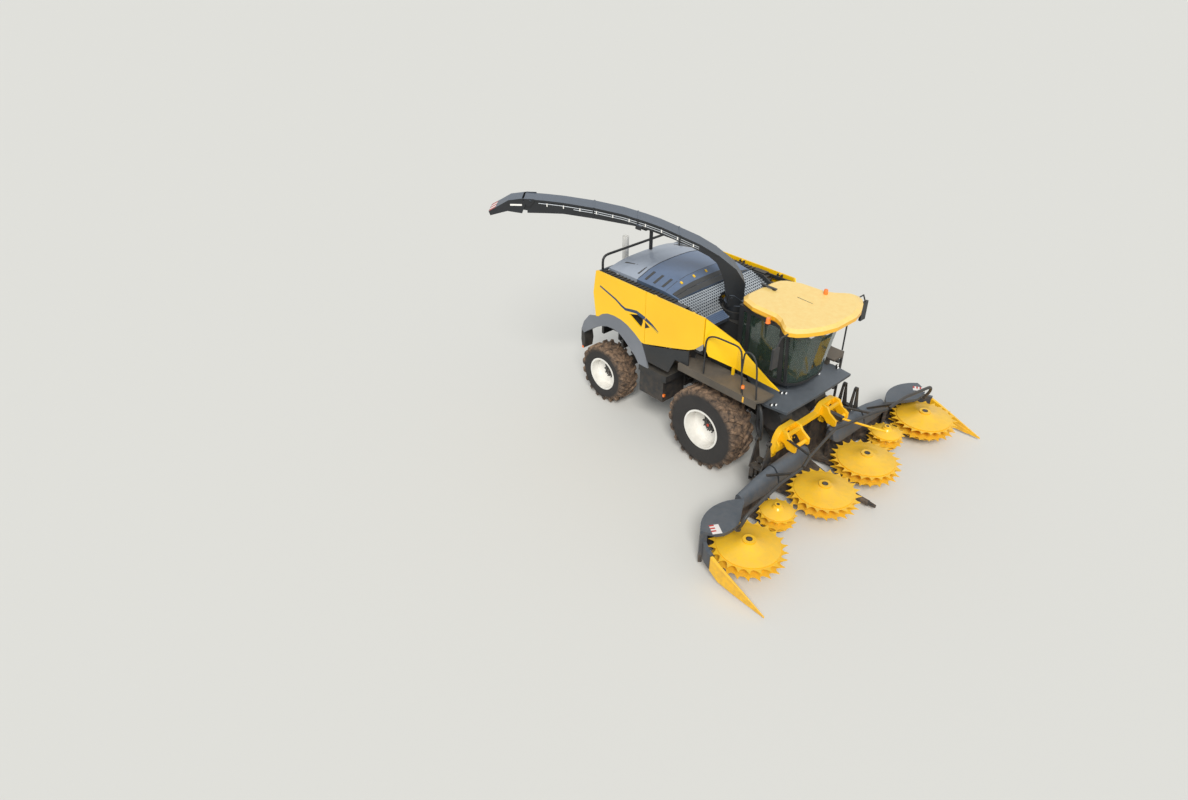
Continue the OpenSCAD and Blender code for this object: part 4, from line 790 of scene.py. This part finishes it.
def gear_case(radius, x, y):
    """A flat round gearbox under a rotor."""
    return moved(disc(radius, box_high - 90, (x, y, 0), "z", 40), (0, 0, 90))


def skid(start_x, y):
    """A flat runner under the header, 120 mm wide, turned up at both ends."""
    return prism([(start_x, 120), (start_x + 60, 20), (outer_x + 150, 0), (outer_x + 200, 90),
                  (start_x + 100, 121)], y, y + 120)


def ear(x, side):
    """An ear of the fold hinge, with its boss, on the centre's side (1) or the wing's (-1)."""
    plate = prism([(-fold_y + side * 20, 880), (-fold_y + side * 180, 880), (-fold_y + side * 50, fold_z),
                   (-fold_y, fold_z)], x, x + 28, "x")
    return [plate, disc(52, 28, (x, -fold_y, fold_z), "x", 32)]


side_wall = prism([(-1000, wall_low), (-330, wall_low), (-330, 1150), (-700, 1150), (-1000, 950)],
                  back_x + 0.5, wall_front, "x")
sill = block((back_x + 0.5, -330, wall_low), (wall_front, 330, 500))
lintel = block((back_x + 0.5, -330, 1080), (wall_front, 330, 1150))
shoulder = prism([(back_x + 2, -990), (wall_front, -940), (wing_front, -fold_y + 90),
                  (wing_front, -fold_y + 10), (wing_x - 20, -fold_y + 10)], wall_low, 560, "z")
posts = [block((wing_x, -fold_y + 10, 550), (wing_front, -fold_y + 60, 705)),
         block((wing_x - 10, -600, 210), (wing_x + 40, -540, 705)),
         block((1400, -1400, 540), (1460, -1300, 885)), block((1640, -1400, 540), (1700, -1300, 885)),
         block((1380, -1400, 880), (1700, -1300, 950))]
gearbox = [prism([(back_x + 60, -1100), (outer_x - 200, -900), (outer_x - 200, -560),
                  (back_x + 60, -360)], box_low, box_high, "z"), gear_case(240, outer_x, -inner_y)]
right_half = [side_wall, shoulder, skid(back_x + 200, -790)] + posts + gearbox + ear(1380, 1) + ear(1650, 1)
nose_half = [(1410, -360), (2260, -120), (2660, -80), (3300, -20)]
nose_outline = nose_half + [(x, -y) for x, y in nose_half[::-1]]
middle = [sill, lintel, tube([(outer_x, 0, 130), (3150, 0, 120)], 60, 24),
          prism(nose_outline, wall_low, 160, "z")]
centre_cover = cover([(-401, 1772, 790, 190, 190), (-440, 1748, 745, 240, 260), (-520, 1724, 715, 280, 330),
                      (-650, 1712, 700, 298, 350), (-1440, 1712, 700, 305, 322)])
made = piece("header_centre_body", "header", {chassis_paint: middle + mirrored(right_half),
                                              header_slate: mirrored([centre_cover])},
             edge=40, bevel=4)
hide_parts("header_centre")

# The cast frame: an arch over the feed opening on each side, arms that reach forward from
# it, a tube across them, ribs, bolts, and a yellow rod that points forward from a black block.
frame_back, frame_front = 1441, 1561
arch = [(-1080, 960), (-1010, 1300), (-930, 1410), (-860, 1450), (-480, 1450), (-400, 1400),
        (-330, 1290), (0, 1290), (0, 1200), (-560, 1200), (-560, 960)]
arm = [(1560, 1450), (1671, 1430), (1741, 1330), (1911, 1220), (1911, 1090), (1860, 1075),
       (1721, 1090), (1641, 1180), (1560, 1200)]
rib = [(1560, 1260), (1631, 1180), (1631, 1060), (1560, 1000)]
boss_profile = [(0, 0), (80, 0), (80, 14), (52, 20), (0, 20)]
cast_half = [prism(arch, frame_back, frame_front, "x"), block((frame_back, -1060, 860), (1521, -940, 1000))]
cast_half += [prism(arm, y, y + 50) for y in (-900, -480)] + [prism(rib, y, y + 30) for y in (-1040, -640)]
cast_half += [block((1641, -899, 1330), (1701, -479, 1390)),
              tube([(1841, -899, 1150), (1841, -429, 1150)], 42, 20)]
cast_half += [turned(boss_profile, (1560, -700, 1330), "x", 28)]
cast_half += [disc(15, 12, (1560, y, z), "x", 6) for z in (1060, 1160)
              for y in (-990, -930, -820, -590, -520, -430)]
cast_half += [disc(15, 12, (1560, y, 1385), "x", 6) for y in (-820, -590, -520, -430)]
rod = tube([(1990, 515, 1290), (2820, 760, 1290)], 22, 16)
rod_block = block((frame_front, 470, 1235), (2010, 560, 1335))
made = piece("feed_cast_frame", "header",
             {header_yellow: mirrored(cast_half) + [rod],
              chassis_paint: [rod_block] + mirrored([disc(34, 3, (1580, -700, 1330), "x", 20)])},
             bevel=6)
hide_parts("feed_frame")


# Wings: black back walls, skids, gearboxes and hinge ears, slate covers, and a black push bar
# on a strut. A wall and a flat cover curve round the outer rotor. A plain plate with red
# stripes lies on that cover.
def round_outer(r, degrees):
    """Plan points at a distance and angles from the outer rotor's axis."""
    turn = np.radians(np.atleast_1d(degrees))
    return np.stack([outer_x + r * np.cos(turn), -outer_y + r * np.sin(turn)], -1)


def outer_wall(r0, r1, a0, a1, low, high):
    """A curved wall round the outer rotor."""
    sweep = np.linspace(a0, a1, 16)
    return prism(np.concatenate([round_outer(r1, sweep), round_outer(r0, sweep[::-1])]), low, high, "z")


def rotor_arm(x, y, half):
    """A flat case from the back wall to a rotor's gearbox."""
    root_x = wing_x + 10
    plan = [(root_x, -y - half - 60), (x, -y - half), (x, -y + half), (root_x, -y + half + 60)]
    return prism(plan, box_low, box_high, "z")


wing_black = [prism([(-outer_y, wall_low), (-1470, wall_low), (-1470, 702), (-2300, 622), (-outer_y, 560)],
                    wing_x, wing_x + 70, "x"), outer_wall(790, 858, 138, 228, wall_low, 776)]
wing_black += [gear_case(240, outer_x, -outer_y), gear_case(160, small_x, -small_y)]
wing_black += [rotor_arm(outer_x - 200, outer_y, 160), rotor_arm(small_x - 100, small_y, 100)]
wing_black += [skid(wing_x + 20, -3070)]
wing_black += [block((1414, -1620, 880), (1712, -1520, 950)), block((1650, -1620, 640), (1800, -1520, 885)),
               block((1414, -1600, 600), (1500, -1540, 885)),
               block((1414, -1600, 560), (wing_x + 10, -1540, 640))]
wing_black += [tube([(x - 8, -fold_y, fold_z), (x + 60, -fold_y, fold_z)], 24, 20) for x in (1380, 1650)]
bar_foot = (2390, -3150, 836)
wing_black += [tube([(2448, -1490, 1340), (2448, -2100, 1340), (2490, -2880, 1230), (2505, -3110, 1195),
                     (2495, -3180, 1060), bar_foot], 32, 16, cut=90),
               tube([(1850, -1700, 940), (2448, -1700, 1340)], 25, 12), disc(60, 14, bar_foot, "z", 24)]
wing_black += ear(1414, -1) + ear(1684, -1)
brow_inner = [(790, 230), (600, 236), (470, 236), (360, 228), (290, 214), (250, 190), (290, 168),
              (430, 150), (600, 142), (740, 137)]
brow = np.concatenate([round_outer(858, np.linspace(136, 228, 14))]
                      + [round_outer(r, a) for r, a in brow_inner])
wing_cover = cover([(-1481, 1712, 700, 305, 322), (-1880, 1722, 670, 290, 300),
                    (-2150, 1732, 640, 250, 265), (-2420, 1744, 615, 205, 235)])
wing_slate = [wing_cover, prism(brow, 770, 836, "z")]
wing_slate += [outer_wall(736, 804, 222, 254, 280, 600), outer_wall(736, 858, 220, 229, 280, 776)]
plate = [prism([(1985, -3440), (2185, -3560), (2275, -3410), (2075, -3290)], 836.5, 838.5, "z")]
stripe = prism([(1985, -3440), (2015, -3458), (2060, -3383), (2030, -3365)], 838, 839.2, "z")
stripes = [moved(stripe, (a, -0.6 * a, 0)) for a in (0, 60, 120)]


def divider_ring(x, y0, y1, z0, z1):
    """A rectangular ring of a divider."""
    return [(x, y0, z0), (x, y1, z0), (x, y1, z1), (x, y0, z1)]


divider = [loft([divider_ring(2341, -3775, -3712, 250, 560), divider_ring(2560, -3788, -3736, 130, 480),
                 divider_ring(2900, -3788, -3748, 95, 350), divider_ring(3560, -3785, -3772, 60, 95)]),
           loft([divider_ring(2560, -3745, -3728, 100, 300), divider_ring(3300, -3765, -3752, 70, 150)])]


# Rotors: turned yellow steel drums with a cone lid and a black hub nut, and two rings of
# hooked blades. Large ones stand inside and outside on each half and a small one between.
# The wings and their rotors are made side by side.
def tooth_ring(radius, depth, teeth):
    """A ring of blades in plan: at share k of a tooth the radius is r - depth sin(pi k^0.7)^0.8."""
    steps = teeth * 10
    k = (np.arange(steps) % 10) / 10
    turn = 2 * np.pi * np.arange(steps) / steps
    reach = radius - depth * np.sin(np.pi * k ** 0.7) ** 0.8
    return np.stack([reach * np.cos(turn), reach * np.sin(turn)], -1)


# Columns: share of the rotor's radius, and height.
drum_profile = [(0, 221), (0.72, 221), (0.72, 240), (0.5, 244), (0.5, 486), (0.78, 494), (0.81, 500),
                (0.81, 512), (0.6, 545), (0.3, 575), (0.22, 612), (0.17, 618), (0.17, 652), (0, 655)]
nut_profile = [(0, 655), (0.07, 655.5), (0.07, 657), (0, 657.5)]
rotor_table = [("inner", outer_x, -inner_y, 700, 22), ("small", small_x, -small_y, 380, 14),
               ("outer", outer_x, -outer_y, 700, 22)]
for side in ("right", "left"):
    made = piece("wing_body_" + side, "wing_" + side,
                 {chassis_paint: flipped(wing_black, side), header_slate: flipped(wing_slate, side),
                  blank_plate: flipped(plate, side), safety_red: flipped(stripes, side)},
                 edge=40, bevel=5)
    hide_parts("wing_frame_" + side)
    made = piece("wing_divider_" + side, "wing_" + side, {header_yellow: flipped(divider, side)},
                 bevel=5)
    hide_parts("wing_snouts_" + side)
    for kind, x, y, radius, teeth in rotor_table:
        spot = np.array((x, y, 0.0))
        drum = turned([(radius * share, z) for share, z in drum_profile], spot, "z", 64)
        nut = turned([(radius * share, z) for share, z in nut_profile], spot, "z", 24)
        ring = tooth_ring(radius, radius * 0.16, teeth)
        blades = [moved(prism(ring, z, z + 12, "z"), spot) for z in (320, 482)]
        node = f"rotor_{kind}_{side}"
        made = piece(f"toothed_rotor_{kind}_{side}", node,
                     {header_yellow: flipped([drum] + blades, side), chassis_paint: flipped([nut], side)},
                     edge=32)
        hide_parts(node)

# Pipe before the wheel: a thick black hydraulic hose, dull rubber, that bends down from the
# platform in front of the right wheel and back up to it.
hose_rubber = finish("black_hydraulic_hose", "#17181a", "#222426", 0.55, soil_share=0.2)
hose = tube([(1060, -1130, 1955), (1250, -1240, 1935), (1330, -1265, 1650), (1325, -1240, 1250),
             (1200, -1090, 1190), (1060, -1010, 1330), (1030, -1010, 1955)], 34, 16, cut=130)
piece("pipe_before_wheel", "machine", {hose_rubber: [hose]})
